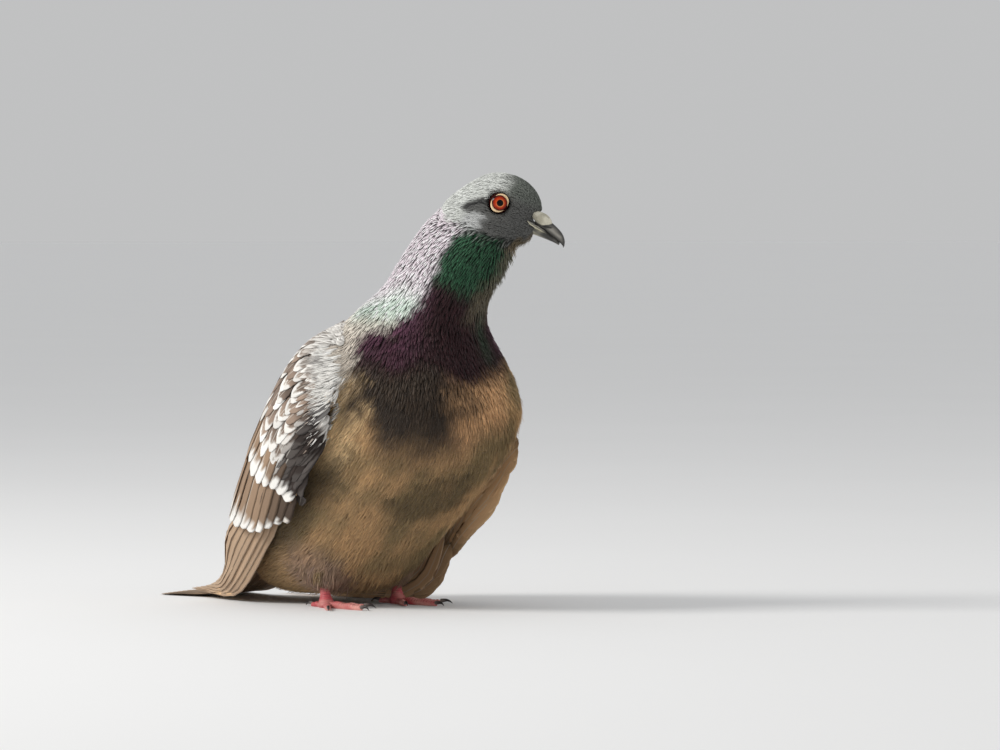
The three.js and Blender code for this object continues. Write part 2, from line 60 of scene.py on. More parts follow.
# Trunk and neck, tail root to head: [back y, back z, front y, front z, centre x, half width]
BODY = np.array([
    [72, 34, 60, 6, 0, 19],
    [62, 54, 44, 3.5, 0, 28],
    [49, 76, 20, 5, 0, 36.5],
    [33, 100, -8, 7, 0, 42.5],
    [16, 122, -40, 30, 0, 46.5],
    [1, 138, -69, 59, 2, 49.5],
    [-9, 149, -87, 88, 4.5, 50.5],
    [-16, 157, -83, 114, 4.5, 40],
    [-23, 165, -71, 139, 7, 28.5],
    [-32, 180, -75, 158, 10, 24.5],
    [-44.5, 197.5, -86, 175, 13.2, 22.5],
    [-59, 209, -95, 187, 15, 17],
])
BODY_FULLNESS = 2.25

# Head, in its own frame: [forward, top, bottom, half width]
HEAD_PLACE = np.array([18.0, -83.0, 204.0])
HEAD_TURN, HEAD_BOW = math.radians(46), math.radians(25)
HEAD = np.array([
    [-25, -9, -16, 5],
    [-22.5, -3.4, -19, 8.5],
    [-18, 4.2, -20.5, 11],
    [-13, 11.4, -20, 12.4],
    [-6, 16.6, -18.5, 13],
    [4.6, 18.7, -17.5, 12.8],
    [13, 16.9, -16.5, 10.4],
    [19, 12.9, -13.5, 6.7],
    [22, 8.6, -9.6, 4.6],
    [23.8, 5.2, -6.8, 3.8],
])
HEAD_FULLNESS = 2.1
UPPER_BILL = np.array([
    [20.5, 5.4, -0.8, 3.7],
    [25.5, 4.5, -1.5, 3.2],
    [29.5, 3.6, -2.2, 2.6],
    [33, 2.4, -2.8, 2.2],
    [36, 0.8, -3.4, 2.1],
    [38.2, -1.6, -4.3, 1.3],
    [39.1, -3.9, -5.2, 0.5],
])
LOWER_BILL = np.array([
    [20.5, -0.6, -5.6, 3.5],
    [25.5, -1.2, -5.1, 2.9],
    [30, -1.9, -4.8, 2.3],
    [33.6, -2.6, -4.7, 1.8],
    [36.4, -3.6, -4.9, 1],
])
CERE_PLACE, CERE_SIZE = np.array([23.5, 2.0, 3.5]), np.array([6.0, 2.7, 2.8])
CERE_SLOPE, CERE_SPLAY = math.radians(7), math.radians(13)
EYE_RADIUS = 5.2
EYE_PLACE, EYE_OUTWARD = np.array([0.5, 9.3, 1.7]), np.array([0.16, 1.0, 0.06])
RING_RADIUS, RING_LIFT = 4.35, 2.75

# Wings: sections of four points from the back edge to the lower edge, bend to tip, for the +X side
FOLDED_INNER = [
    [[30, -24, 143], [42, -34, 131], [50, -40, 112], [50, -29, 89]],
    [[20, -6, 142], [42, -9, 129], [53, -18, 101], [51, -19, 74]],
    [[15, 16, 125], [43, 13, 110], [52.5, 1, 84], [49, -7, 58]],
    [[12, 43, 91], [41, 37, 78], [49, 18, 60], [47, -1, 48]],
    [[12, 64, 56], [38.5, 58, 44], [45, 32, 38.5], [45.5, 5, 42]],
]
FOLDED_TIP = [
    [[11, 54, 63.5], [32, 47, 53], [39, 34.5, 44.5], [39, 20, 42]],
    [[10, 71, 46], [32, 66, 36.5], [37, 51, 29], [37, 34, 28]],
    [[7, 87, 27], [22, 80, 20], [30, 70, 14], [33, 54, 10]],
    [[4, 104, 14], [12, 100, 9.5], [20, 92, 6], [25, 80, 4]],
    [[4, 128, 6.2], [8, 128, 5.6], [12, 126, 5], [16, 121, 4.4]],
]
LOW_INNER = [
    [[33, -28, 141], [45.5, -40, 119], [55.5, -52, 89], [57, -46, 66]],
    [[22, -7, 142], [46.5, -14, 120], [57, -31, 80], [57, -36, 51]],
    [[16, 16, 126], [47.5, 8.5, 101], [56, -12, 62], [53.5, -20, 36]],
    [[13, 44, 91.5], [45, 32, 68], [54, 6, 38], [51.5, -11, 25]],
    [[13, 64, 56], [42, 52, 34], [50, 20, 17.5], [51, -8, 17]],
]
LOW_TIP = [
    [[14, 50, 62], [37, 38, 46], [47, 14, 32], [48.5, -9, 24]],
    [[14, 63, 43], [34, 53, 30], [44, 28, 17], [47, -2, 10]],
    [[13, 80, 26], [29, 74, 15], [38, 52, 6.4], [43, 14, 2.2]],
    [[14, 98, 12], [24, 93, 7.4], [32, 77, 3.8], [37, 48, 2]],
    [[23, 116, 4.6], [26, 115, 3.8], [29, 112, 3], [32, 104, 2]],
]
# Tail: [y, top z, bottom z, half width]
TAIL = np.array([
    [60, 31, 20, 12],
    [72, 20, 10.5, 14],
    [86, 10.5, 3.6, 15.5],
    [98, 5.4, 0.6, 17],
    [111, 3.3, 0, 19],
    [124, 2.6, 0, 22.5],
    [136, 2.2, 0, 25],
    [141, 1.8, 0, 21],
])
FOOT_X = 24.0
THIGH = np.array([
    [-3, 9, 40, 12, 17],
    [-1, 6, 27, 11, 15],
    [0, 3, 17, 8, 11],
    [0, 1.5, 12, 4.6, 6.5],
    [0, 1.2, 10.6, 3, 4],
])
SHANK = np.array([
    [0, 1.6, 14, 2.3, 2.6],
    [0, 1.2, 9, 2.3, 2.6],
    [0, 0.6, 5.4, 2.7, 3.2],
    [0, 0, 3, 3.8, 4.2],
    [0, 0, 1.2, 4.1, 4.6],
    [0, 0, 0, 3.4, 3.9],
])
# Toes: name, turn outward in degrees, length, radius at the root
TOES = [("inner", -30, 21, 2.0), ("middle", 2, 29, 2.2), ("outer", 38, 23, 2.0), ("hind", 186, 13, 1.9)]
# Thickness of the flesh at each section
WING_DEPTH, TIP_DEPTH = [2.2, 4.6, 3.6, 2.8, 2], [2.2, 2.2, 2, 1.8, 1.2]
COAT_SEAT = 0.8  # how far under the flesh's face feathers are set
SIDES = [
    ("left", 1, (LOW_INNER, WING_DEPTH), (LOW_TIP, TIP_DEPTH)),
    ("right", -1, (FOLDED_INNER, WING_DEPTH), (FOLDED_TIP, TIP_DEPTH)),
]

# ------------------------------------------------------------------ curves and frames

tail_low, tail_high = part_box("tail")
# The middle of the feet in the frame, in metres
ORIGIN = np.array([(tail_low.x + tail_high.x) / 2, tail_high.y - TAIL_END / 1000, 0.0])


def unit(vectors):
    return vectors / np.maximum(np.linalg.norm(vectors, axis=-1, keepdims=True), 1e-9)


def step(low, high, value):
    """Smooth from 0 at low to 1 at high."""
    t = np.clip((np.asarray(value, float) - low) / (high - low), 0, 1)
    return t * t * (3 - 2 * t)


def eased(a, b, c, d, t):
    """The smooth curve through four neighbours, a share t of the way from b to c."""
    slope_in, slope_out, rise = (c - a) / 2, (d - b) / 2, c - b
    bend = 3 * rise - 2 * slope_in - slope_out + t * (slope_in + slope_out - 2 * rise)
    return b + t * (slope_in + t * bend)


def hump(value, middle, width):
    """1 at the middle, falling away smoothly on both sides."""
    return np.exp(-(((value - middle) / width) ** 2))


def rows_at(table, share):
    """Rows of numbers at shares of the way along a table, on smooth curves."""
    table = np.asarray(table, float)
    last = len(table) - 1
    at = np.clip(np.atleast_1d(share), 0, 1) * last
    k = np.minimum(at.astype(int), last - 1)
    return eased(*(table[np.clip(k + i, 0, last)] for i in (-1, 0, 1, 2)), (at - k)[:, None])


def pushed(value, fullness):
    return np.sign(value) * np.abs(value) ** (2 / fullness)


def body_surface(share, angle):
    """Points of the trunk and neck: angle 0 is the back, positive towards the bird's left."""
    back_y, back_z, front_y, front_z, x, half = rows_at(BODY, share).T
    along, across = pushed(np.cos(angle), BODY_FULLNESS), pushed(np.sin(angle), BODY_FULLNESS)
    return np.stack([
        x + half * across,
        (back_y + front_y) / 2 + (back_y - front_y) / 2 * along,
        (back_z + front_z) / 2 + (back_z - front_z) / 2 * along,
    ], axis=1)


HEAD_FORWARD = np.array([
    math.sin(HEAD_TURN) * math.cos(HEAD_BOW), -math.cos(HEAD_TURN) * math.cos(HEAD_BOW), -math.sin(HEAD_BOW),
])
HEAD_LEFT = np.array([math.cos(HEAD_TURN), math.sin(HEAD_TURN), 0])
HEAD_AXES = np.array([HEAD_FORWARD, HEAD_LEFT, np.cross(HEAD_FORWARD, HEAD_LEFT)])


def from_head(points):
    """From the head's frame (forward, left, up) to the bird's."""
    return points @ HEAD_AXES + HEAD_PLACE


def to_head(points):
    return (points - HEAD_PLACE) @ HEAD_AXES.T


def head_loft(table, share, angle, fullness=2.0):
    """Points of a loft along the head's forward axis, in the head's frame. Angle 0 is the top."""
    forward, top, bottom, half = rows_at(table, share).T
    along, across = pushed(np.cos(angle), fullness), pushed(np.sin(angle), fullness)
    return np.stack([forward, half * across, (top + bottom) / 2 + (top - bottom) / 2 * along], axis=1)


def head_surface(share, angle):
    return from_head(head_loft(HEAD, share, angle, HEAD_FULLNESS))


def limb_surface(table, side, share, angle):
    x, y, z, width, depth = rows_at(table, share).T
    return np.stack([side * (FOOT_X + x) + width * np.sin(angle), y + depth * np.cos(angle), z], axis=1)


def wing_surface(hand, side, share, across):
    """Points of a wing's inner face: share from bend to tip, across from the back edge to the lower edge."""
    sections = np.array(hand[0], float).reshape(len(hand[0]), 12)
    share, across = np.atleast_1d(share).astype(float), np.atleast_1d(across).astype(float)
    inside = np.clip(share, 0, 1)
    corners = rows_at(sections, inside).reshape(-1, 4, 3)
    over = share - inside
    if np.any(over != 0):
        probe = 0.03
        near = rows_at(sections, np.where(over > 0, 1 - probe, probe)).reshape(-1, 4, 3)
        slope = (corners - near) / np.where(over > 0, probe, -probe)[:, None, None]
        corners = corners + slope * over[:, None, None]
    at = np.clip(across, 0, 1) * 3
    k = np.minimum(at.astype(int), 2)
    first = 2 * corners[:, 0] - corners[:, 1]
    last = 2 * corners[:, 3] - corners[:, 2]
    whole = np.concatenate([first[:, None], corners, last[:, None]], axis=1)
    a, b, c, d = (whole[np.arange(len(corners)), k + i] for i in range(4))
    point = eased(a, b, c, d, (at - k)[:, None])
    point = point + (across - np.clip(across, 0, 1))[:, None] * (c - b) * 3
    return point * np.array([side, 1, 1])


def wing_frame(hand, side, share, across, inner=False):
    """The place and the way out where feathers are set on a wing's outer face, or on its inner face."""
    small = 0.01
    place = wing_surface(hand, side, share, across)
    tipward = (wing_surface(hand, side, share + small, across)
               - wing_surface(hand, side, share - small, across))
    edgeward = (wing_surface(hand, side, share, np.minimum(across + small, 1))
                - wing_surface(hand, side, share, np.maximum(across - small, 0)))
    outward = unit(np.cross(edgeward, tipward)) * side
    if inner:
        return place + outward * COAT_SEAT, -outward
    # The flesh thins towards its two edges.
    rim = np.sin(math.pi * (np.clip(across, 0, 1) * 8 + 0.6) / 9.2) ** 0.5
    thickness = rows_at(np.array(hand[1])[:, None], share)[:, 0] * rim
    return place + outward * (thickness - COAT_SEAT)[:, None], outward


def patchy(points, size, seed):
    """Smooth noise of about -1 to 1, in patches of about a size in mm."""
    rng = np.random.default_rng(seed)
    total = np.zeros(len(points))
    for _ in range(7):
        wave = unit(rng.normal(size=3)) * 2 * math.pi / size * rng.uniform(0.35, 0.8)
        total += np.sin(points @ wave + rng.uniform(0, 2 * math.pi))
    return total / 2.6


# ------------------------------------------------------------------ meshes


def mesh_object(name, points, faces, material, colours, vectors=None, uvs=None, sides=3):
    """A mesh from points in mm and an array of faces, all with the same number of sides."""
    mesh = bpy.data.meshes.new(name)
    mesh.vertices.add(len(points))
    mesh.vertices.foreach_set("co", (points / 1000 + ORIGIN).astype(np.float32).ravel())
    faces = np.asarray(faces, np.int32).reshape(-1, sides)
    mesh.loops.add(faces.size)
    mesh.loops.foreach_set("vertex_index", faces.ravel())
    mesh.polygons.add(len(faces))
    mesh.polygons.foreach_set("loop_start", np.arange(0, faces.size, sides, dtype=np.int32))
    mesh.polygons.foreach_set("use_smooth", np.full(len(faces), True))
    mesh.update(calc_edges=True)
    layer = mesh.color_attributes.new(name="coat", type="FLOAT_COLOR", domain="POINT")
    opaque = np.ones((len(points), 1))
    layer.data.foreach_set("color", np.hstack([colours, opaque]).astype(np.float32).ravel())
    if vectors is not None:
        layer = mesh.attributes.new("vane", "FLOAT_VECTOR", "POINT")
        layer.data.foreach_set("vector", vectors.astype(np.float32).ravel())
    if uvs is not None:
        layer = mesh.uv_layers.new(name="OFBake")
        layer.data.foreach_set("uv", uvs[faces.ravel()].astype(np.float32).ravel())
    mesh.materials.append(material)
    made = bpy.data.objects.new(name, mesh)
    bpy.context.scene.collection.objects.link(made)
    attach(made, ROOT)
    return made


def grid_faces(rows, columns):
    """Triangles of a grid of points that wraps round its columns, with its two ends closed by fans."""
    i, j = np.meshgrid(np.arange(rows - 1), np.arange(columns), indexing="ij")
    a = i * columns + j
    b = i * columns + (j + 1) % columns
    c, d = b + columns, a + columns
    walls = np.stack([a, b, c, a, c, d], axis=-1).reshape(-1, 3)
    ring = np.arange(columns)
    following = (ring + 1) % columns
    middle = np.full(columns, rows * columns)
    base = (rows - 1) * columns
    first = np.stack([middle, following, ring], 1)
    last = np.stack([middle + 1, base + ring, base + following], 1)
    return np.concatenate([walls, first, last])


def closed_loft(surface, rows, columns):
    """Points and triangles of a closed loft of surface(share, angle), and each point's share and angle."""
    shares = np.repeat(np.linspace(0, 1, rows), columns)
    angles = np.tile(np.linspace(0, 2 * math.pi, columns, endpoint=False), rows)
    points = surface(shares, angles)
    points = np.vstack([points, points[:columns].mean(0), points[-columns:].mean(0)])
    return points, grid_faces(rows, columns), np.append(shares, [0, 1]), np.append(angles, [0, 0])


def outward_faces(points, faces):
    """The same triangles, turned to face out of the closed shape they make."""
    a, b, c = (points[faces[:, i]] for i in range(3))
    volume = np.einsum("ij,ij->i", a, np.cross(b, c)).sum()
    return faces if volume > 0 else faces[:, ::-1]


def lathe(profile, sides):
    """Points round the +Z axis through rows of (radius, height), and their triangles."""
    turn = np.tile(np.linspace(0, 2 * math.pi, sides, endpoint=False), len(profile))
    radius, height = np.repeat(profile, sides, axis=0).T
    points = np.stack([radius * np.cos(turn), radius * np.sin(turn), height], axis=1)
    points = np.vstack([points, [[0, 0, profile[0, 1]], [0, 0, profile[-1, 1]]]])
    return points, outward_faces(points, grid_faces(len(profile), sides))


def closed_piece(name, points, faces, material, colours, slot, *replaced, vectors=None):
    """A closed piece with its faces turned outward, in the place of CAD nodes."""
    made = mesh_object(name, points, outward_faces(points, faces), material, colours, vectors)
    if replaced:
        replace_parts(made, *replaced)


def linear(colour):
    """Linear light from a colour as seen, 0 to 1."""
    colour = np.asarray(colour, float)
    return np.where(colour <= 0.04045, colour / 12.92, ((colour + 0.055) / 1.055) ** 2.4)


def mixed(a, b, share):
    share = np.asarray(share)[..., None]
    return np.asarray(a) * (1 - share) + np.asarray(b) * share


def painted(colour, *coats):
    """A colour under coats of paint, one after another: each a colour and how much of it there is."""
    for paint, cover in coats:
        colour = mixed(colour, paint, cover)
    return colour


# ------------------------------------------------------------------ materials


def new_material(name, **looks):
    """A material, its nodes and its shader. looks: values of the shader's sockets, with _ for a space."""
    material = bpy.data.materials.new(name)
    material.use_nodes = True
    shader = material.node_tree.nodes["Principled BSDF"]
    for key, value in looks.items():
        shader.inputs[key.replace("_", " ")].default_value = value
    return material, material.node_tree, shader


def node(tree, kind, inputs, **settings):
    """A node, with its inputs set to values or linked to sockets."""
    made = tree.nodes.new(kind)
    for key, value in settings.items():
        setattr(made, key, value)
    for key, value in inputs.items():
        if isinstance(value, bpy.types.NodeSocket):
            tree.links.new(value, made.inputs[key])
        else:
            made.inputs[key].default_value = value
    return made


def attribute(tree, name, output):
    return node(tree, "ShaderNodeAttribute", {}, attribute_name=name).outputs[output]


def maths(tree, operation, *values, clamp=False):
    made = node(tree, "ShaderNodeMath", dict(enumerate(values)), operation=operation, use_clamp=clamp)
    return made.outputs[0]


def mix_colour(tree, kind, factor, a, b):
    return node(tree, "ShaderNodeMix", {0: factor, 6: a, 7: b}, data_type="RGBA", blend_type=kind).outputs[2]


def grey_from(tree, light):
    return node(tree, "ShaderNodeCombineColor", {"Red": light, "Green": light, "Blue": light}).outputs[0]


def mottled(tree, vector, scale, detail, depth, roughness=0.5):
    """Fine noise, and a grey that follows it, up to a depth either side of 1."""
    inputs = {"Vector": vector, "Scale": scale, "Detail": detail, "Roughness": roughness}
    noise = node(tree, "ShaderNodeTexNoise", inputs).outputs["Fac"]
    return noise, grey_from(tree, maths(tree, "MULTIPLY_ADD", noise, depth * 2, 1 - depth))


def bumped(tree, shader, noise, strength, distance):
    bump = node(tree, "ShaderNodeBump", {"Height": noise, "Strength": strength, "Distance": distance})
    tree.links.new(bump.outputs[0], shader.inputs["Normal"])


def plumage_material(name, barb_scale, barb_depth, roughness, shaft=0.0, sheen=0.08, metallic=0.0, gloss=0.3):
    """Feather colour from the coat attribute, streaked along the barbs, with a paler shaft if wanted."""
    material, tree, shader = new_material(name, Roughness=roughness, Metallic=metallic, Sheen_Weight=sheen,
                                          Sheen_Roughness=0.5, Specular_IOR_Level=gloss)
    coat = attribute(tree, "coat", "Color")
    parts = node(tree, "ShaderNodeSeparateXYZ", {"Vector": attribute(tree, "vane", "Vector")}).outputs
    along, side, tone = parts["X"], parts["Y"], parts["Z"]
    aside = maths(tree, "ABSOLUTE", side)
    barb = maths(tree, "SUBTRACT", along, maths(tree, "MULTIPLY", aside, 0.8))
    streaks = node(tree, "ShaderNodeCombineXYZ", {
        "X": maths(tree, "MULTIPLY", barb, barb_scale),
        "Y": maths(tree, "MULTIPLY", side, barb_scale * 0.12),
        "Z": maths(tree, "MULTIPLY", tone, 37.0),
    }).outputs[0]
    noise, grey = mottled(tree, streaks, 1.0, 2.0, barb_depth, 0.6)
    colour = mix_colour(tree, "MULTIPLY", 1.0, coat, grey)
    if shaft:
        line = maths(tree, "SUBTRACT", 1.0, maths(tree, "DIVIDE", aside, 0.09), clamp=True)
        pale = mix_colour(tree, "MIX", 0.6, coat, (0.82, 0.78, 0.70, 1))
        colour = mix_colour(tree, "MIX", maths(tree, "MULTIPLY", line, shaft), colour, pale)
    tree.links.new(colour, shader.inputs["Base Color"])
    bumped(tree, shader, noise, 0.5, 0.0002)
    return material


def skin_material(name, roughness, noise_scale, depth, bump_distance, gloss=0.4):
    """Colour from the coat attribute, mottled by fine noise, for bare skin and horn."""
    material, tree, shader = new_material(name, Roughness=roughness, Specular_IOR_Level=gloss)
    place = node(tree, "ShaderNodeTexCoord", {}).outputs["Object"]
    noise, grey = mottled(tree, place, noise_scale, 3.0, depth, 0.6)
    coat = attribute(tree, "coat", "Color")
    tree.links.new(mix_colour(tree, "MULTIPLY", 1.0, coat, grey), shader.inputs["Base Color"])
    bumped(tree, shader, noise, 0.6, bump_distance)
    return material


DOWN = skin_material("down_skin", 0.9, 600, 0.25, 0.0003, 0.2)
CONTOUR = plumage_material("contour_feathers", 5, 0.3, 0.75)
FINE = plumage_material("fine_feathers", 4, 0.18, 0.8)
NECK_GLOSS = plumage_material("neck_feathers", 5, 0.22, 0.45, sheen=0.04, metallic=0.2, gloss=0.25)
FLIGHT = plumage_material("flight_feathers", 42, 0.24, 0.75, shaft=0.9, sheen=0.03, gloss=0.2)
HORN = skin_material("bill_horn", 0.42, 500, 0.22, 0.00012)
POWDER = skin_material("cere_powder", 0.9, 2200, 0.3, 0.0004, 0.1)
BARE = skin_material("bare_skin", 0.55, 900, 0.18, 0.0002)
SCALES = skin_material("foot_scales", 0.5, 700, 0.2, 0.00015)
CLAW = skin_material("claw_horn", 0.4, 800, 0.2, 0.0001)

# ------------------------------------------------------------------ markings, with painted light and shade

SLATE = linear([0.40, 0.40, 0.39])
FOREHEAD = linear([0.47, 0.49, 0.46])
LIT_CROWN = linear([0.87, 0.88, 0.86])
CHEEK = linear([0.82, 0.825, 0.82])
EYE_LINE = linear([0.17, 0.17, 0.17])
CHIN = linear([0.52, 0.46, 0.36])
NAPE_HIGHLIGHT = linear([0.97, 0.92, 0.95])
MINT_HIGHLIGHT = linear([0.87, 0.95, 0.89])
LILAC_HIGHLIGHT = linear([0.62, 0.50, 0.58])
NECK_GREEN = linear([0.175, 0.345, 0.24])
PURPLE = linear([0.37, 0.22, 0.30])
PLUM = linear([0.185, 0.085, 0.10])
THROAT = linear([0.40, 0.37, 0.295])
CHARCOAL = linear([0.225, 0.18, 0.14])
OLIVE = linear([0.58, 0.49, 0.34])
TAWNY = linear([0.76, 0.61, 0.43])
DARK_OLIVE = linear([0.34, 0.28, 0.18])
MANTLE = linear([0.86, 0.82, 0.77])
RUMP = linear([0.66, 0.63, 0.60])
WHITE = linear([0.93, 0.92, 0.90])
TAUPE = linear([0.60, 0.52, 0.46])
BROWN = linear([0.60, 0.50, 0.41])
DARK_BROWN = linear([0.215, 0.18, 0.165])
TAN = linear([0.76, 0.65, 0.54])
UNDER_TAN = linear([0.93, 0.77, 0.59])
UNDER_DARK = linear([0.36, 0.29, 0.235])
WARM_BREAST = linear([0.87, 0.68, 0.49])
LEG_GREY = linear([0.60, 0.50, 0.44])
SAND = linear([0.80, 0.70, 0.60])
STREAK_GREY = linear([0.50, 0.48, 0.47])
SPOT_GREY = linear([0.33, 0.32, 0.32])
LIT_FLANK = linear([0.90, 0.77, 0.58])


def chin_share(place):
    """1 on the chin and the front of the throat."""
    forward, _, up = to_head(place).T
    return step(1.0, -1.2, up + 8.7 - 0.9 * (forward - 19)) * step(7, 13, forward) * step(-42, -26, up)


def head_colour(points):
    """Markings of the head at points of the bird, with painted light on the crown and the back of the head.
    """
    forward, left, up = to_head(points).T
    on_side = step(4, 8, np.abs(left))
    ragged = 0.8 * patchy(points, 3, 64)
    # The line behind the eye bends down as it runs back, and the pale crown, painted light, lies over it.
    along = np.clip((-3.5 - forward) / 10.7, 0, 1)
    line_up = 0.6 - 6.6 * along - 2.4 * along ** 2 + 0.5 * np.maximum(forward + 3.5, 0)
    crown = step(0.9, 3.6, up - line_up + 0.6 * patchy(points, 6, 62))
    crown = crown * step(7, -1, forward + patchy(points, 5, 63))
    # The back of the head takes the crown's pale painted light too.
    behind = step(1.8, -1.8, forward + 13 - 3.5 * step(-7.0, -9.0, up) + 0.8 * patchy(points, 3, 65)) * 0.9
    low_rear = 0.35 * np.maximum(-6 - forward, 0)
    cheek = ((forward + 5.6 + ragged) / 4.9) ** 4 + ((up + 11.6 + low_rear + ragged) / 4.7) ** 4
    line = hump(up, line_up, 0.8 + 0.5 * along) * step(-1, -5, forward)
    line = line * step(-13.6, -11.4, forward) * on_side
    return painted(
        np.tile(SLATE, (len(points), 1)),
        (FOREHEAD, step(4, 10, up) * step(-2, 6, forward) * 0.9),
        (LIT_CROWN, np.maximum(crown, behind)),
        (CHEEK, np.clip(np.exp(-cheek) * on_side * 1.2, 0, 1)),
        (EYE_LINE, np.clip(line, 0, 1)),
        (CHIN, chin_share(points + 0.7 * ragged[:, None]) * 0.95),
    )


def body_colour(points, share, angle):
    """Markings and painted light and shade of the trunk and neck. share: from tail root to head. angle: 0 at
    the back, pi in front.
    """
    x, y, z = points.T
    turn = np.degrees(np.abs(angle))
    wobble = patchy(points, 16, 5)
    fine = patchy(points, 5, 6)
    tawny = step(-0.9, 1.2, patchy(points, 30, 11) + 0.7 * patchy(points, 9, 12))
    smudged = step(0.0, 1.3, patchy(points, 22, 21) + 0.5 * fine)
    # Where the wings shade the flanks below them: painted shade in dark olive, stronger on the bird's right.
    under_wing = step(114, 98, turn + 3 * fine) * step(92, 72, z + 4 * wobble)
    # The charcoal bib reaches lowest in front of the bird's right breast and fades to warm brown at the left.
    breast = step(66, 94, z + 5 * wobble + 1.5 * fine - 0.02 * (x + 16) ** 2)
    bib_side = step(92, 116, turn + 0.4 * (z - 83) + 7 * wobble + 3 * fine)
    warm = step(-28, 14, x + 9 * wobble + 3 * fine) ** 1.4 * step(136, 112, z + 6 * wobble)
    plum = step(117, 133, z + 3 * wobble + 0.12 * (turn - 130)) * step(70, 90, turn)
    # Purple on the sides of the neck, lilac above it as a painted highlight on the purple, and green above
    # both.
    side_glow = step(128, 143, z + 3 * wobble + 0.15 * (turn - 108)) * step(172, 160, z + 2 * wobble)
    side_glow = side_glow * step(146, 108, turn + 5 * fine) * np.clip(0.8 + 0.3 * fine, 0, 1)
    lilac_highlight = step(146, 162, z + 3 * fine) * step(132, 114, turn + 5 * fine) * 0.6
    green_edge = hump(angle, 2.72, 0.16) * step(0.66, 0.72, share) * step(0.83, 0.77, share)
    # From the left of the breastbone the sheen is turned away, and the throat is dull.
    leftward = np.where(angle > 0, 180 - turn, turn - 180) + 4 * wobble + 3 * fine
    throat = step(-5, 12, leftward) * step(80, 60, leftward) * step(0.74, 0.82, share)
    # The nape's near-white is a painted highlight, with a mint-green painted highlight at its foot, and the
    # mantle runs down to the wings.
    limit = 78 + 39 * step(0.64, 0.80, share) - 4 * step(0.86, 0.95, share)
    nape = step(limit + 9, limit - 9, turn + 5 * wobble + 3 * fine) * step(0.55, 0.62, share + 0.01 * wobble)
    mint_highlight = hump(z + 2 * wobble, 155, 8) * step(20, 60, turn)
    mantle = step(5, -5, turn - 80 - 5 * step(98, 112, z) + 2 * wobble + 2 * fine) * step(0.66, 0.60, share)
    return painted(
        mixed(OLIVE, TAWNY, tawny),
        (DARK_OLIVE, smudged * 0.6),
        (TAWNY, step(45, 22, z) * step(-15, 25, y) * 0.6),
        (DARK_OLIVE, under_wing * (0.5 - 0.25 * np.sign(x))),
        # The flank beside the wing is painted paler than its own tan: painted light.
        (LIT_FLANK, step(70, 86, z) * step(114, 100, turn + 3 * fine) * 0.9),
        (mixed(CHARCOAL, WARM_BREAST, warm * 0.9), breast * np.maximum(bib_side, step(112, 128, z))),
        (PLUM, plum),
        (mixed(PURPLE, LILAC_HIGHLIGHT, lilac_highlight), side_glow),
        (NECK_GREEN, step(0.82, 0.875, share + 0.012 * wobble)),
        (NECK_GREEN, green_edge * 0.4),
        (THROAT, throat * 0.85),
        (mixed(mixed(MANTLE, NAPE_HIGHLIGHT, step(146, 162, z + 2 * wobble)), MINT_HIGHLIGHT, mint_highlight * 0.9), nape),
        (mixed(MANTLE, RUMP, step(0.35, 0.15, share)), mantle),
    )


def under_wing_colour(points, share, across):
    """The inner face of a wing: tan along its lower edge and dark brown towards the body, which is painted
    shade.
    """
    tan = step(0.55, 0.82, across - 0.22 * share + 0.02 * patchy(points, 12, 42))
    return mixed(mixed(UNDER_DARK, BROWN, step(-0.6, 0.9, patchy(points, 24, 41)) * 0.35), UNDER_TAN, tan)


# ------------------------------------------------------------------ the skin

BODY_ZONE, HEAD_ZONE, LEG_ZONE, WING_ZONE = 0, 1, 2, 3
FLESH = ["trunk", "neck", "head"]
for name, *_ in SIDES:
    FLESH += [f"thigh_{name}", f"wing_coverts_{name}"]
COVERTS_END = 0.62  # how far from bend to tip the wings' flesh reaches
VOXEL = 1.3  # mm
SWELL = 0.4  # closes the thin cuts between the CAD nodes before they are fused
# Where the skin's zones lie on the unwrap, for baking: [u, v, width, height]
BODY_MAP, HEAD_MAP = np.array([0, 0, 0.6, 1.0]), np.array([0.62, 0, 0.38, 0.4])
LEG_MAP, WING_MAP = np.array([0.62, 0.42, 0.08, 0.27]), np.array([0.72, 0.42, 0.28, 0.27])
NEXT_SIDE = np.array([0, 0.29, 0, 0])  # the right leg and wing lie above the left ones


def welded(obj):
    """A node's corners, merged, and its triangles, in mm from the middle of the feet."""
    mesh = obj.data
    mesh.calc_loop_triangles()
    points = np.array([v.co for v in mesh.vertices], float)
    triangles = np.array([t.vertices[:] for t in mesh.loop_triangles], int)
    keys, index = np.unique(np.round(points * 1e6).astype(np.int64), axis=0, return_inverse=True)
    triangles = index.ravel()[triangles]
    whole = (triangles[:, 0] != triangles[:, 1]) & (triangles[:, 1] != triangles[:, 2])
    whole &= triangles[:, 2] != triangles[:, 0]
    return (keys / 1e6 - ORIGIN) * 1000, triangles[whole]


def corner_normals(points, faces):
    """Area-weighted normals at the corners of triangles or quads."""
    a, b, c = points[faces[:, 0]], points[faces[:, 1]], points[faces[:, 2]]
    if faces.shape[1] == 4:
        flat = np.cross(c - a, points[faces[:, 3]] - b)
    else:
        flat = np.cross(b - a, c - a)
    total = np.zeros_like(points)
    for i in range(faces.shape[1]):
        np.add.at(total, faces[:, i], flat)
    return unit(total)


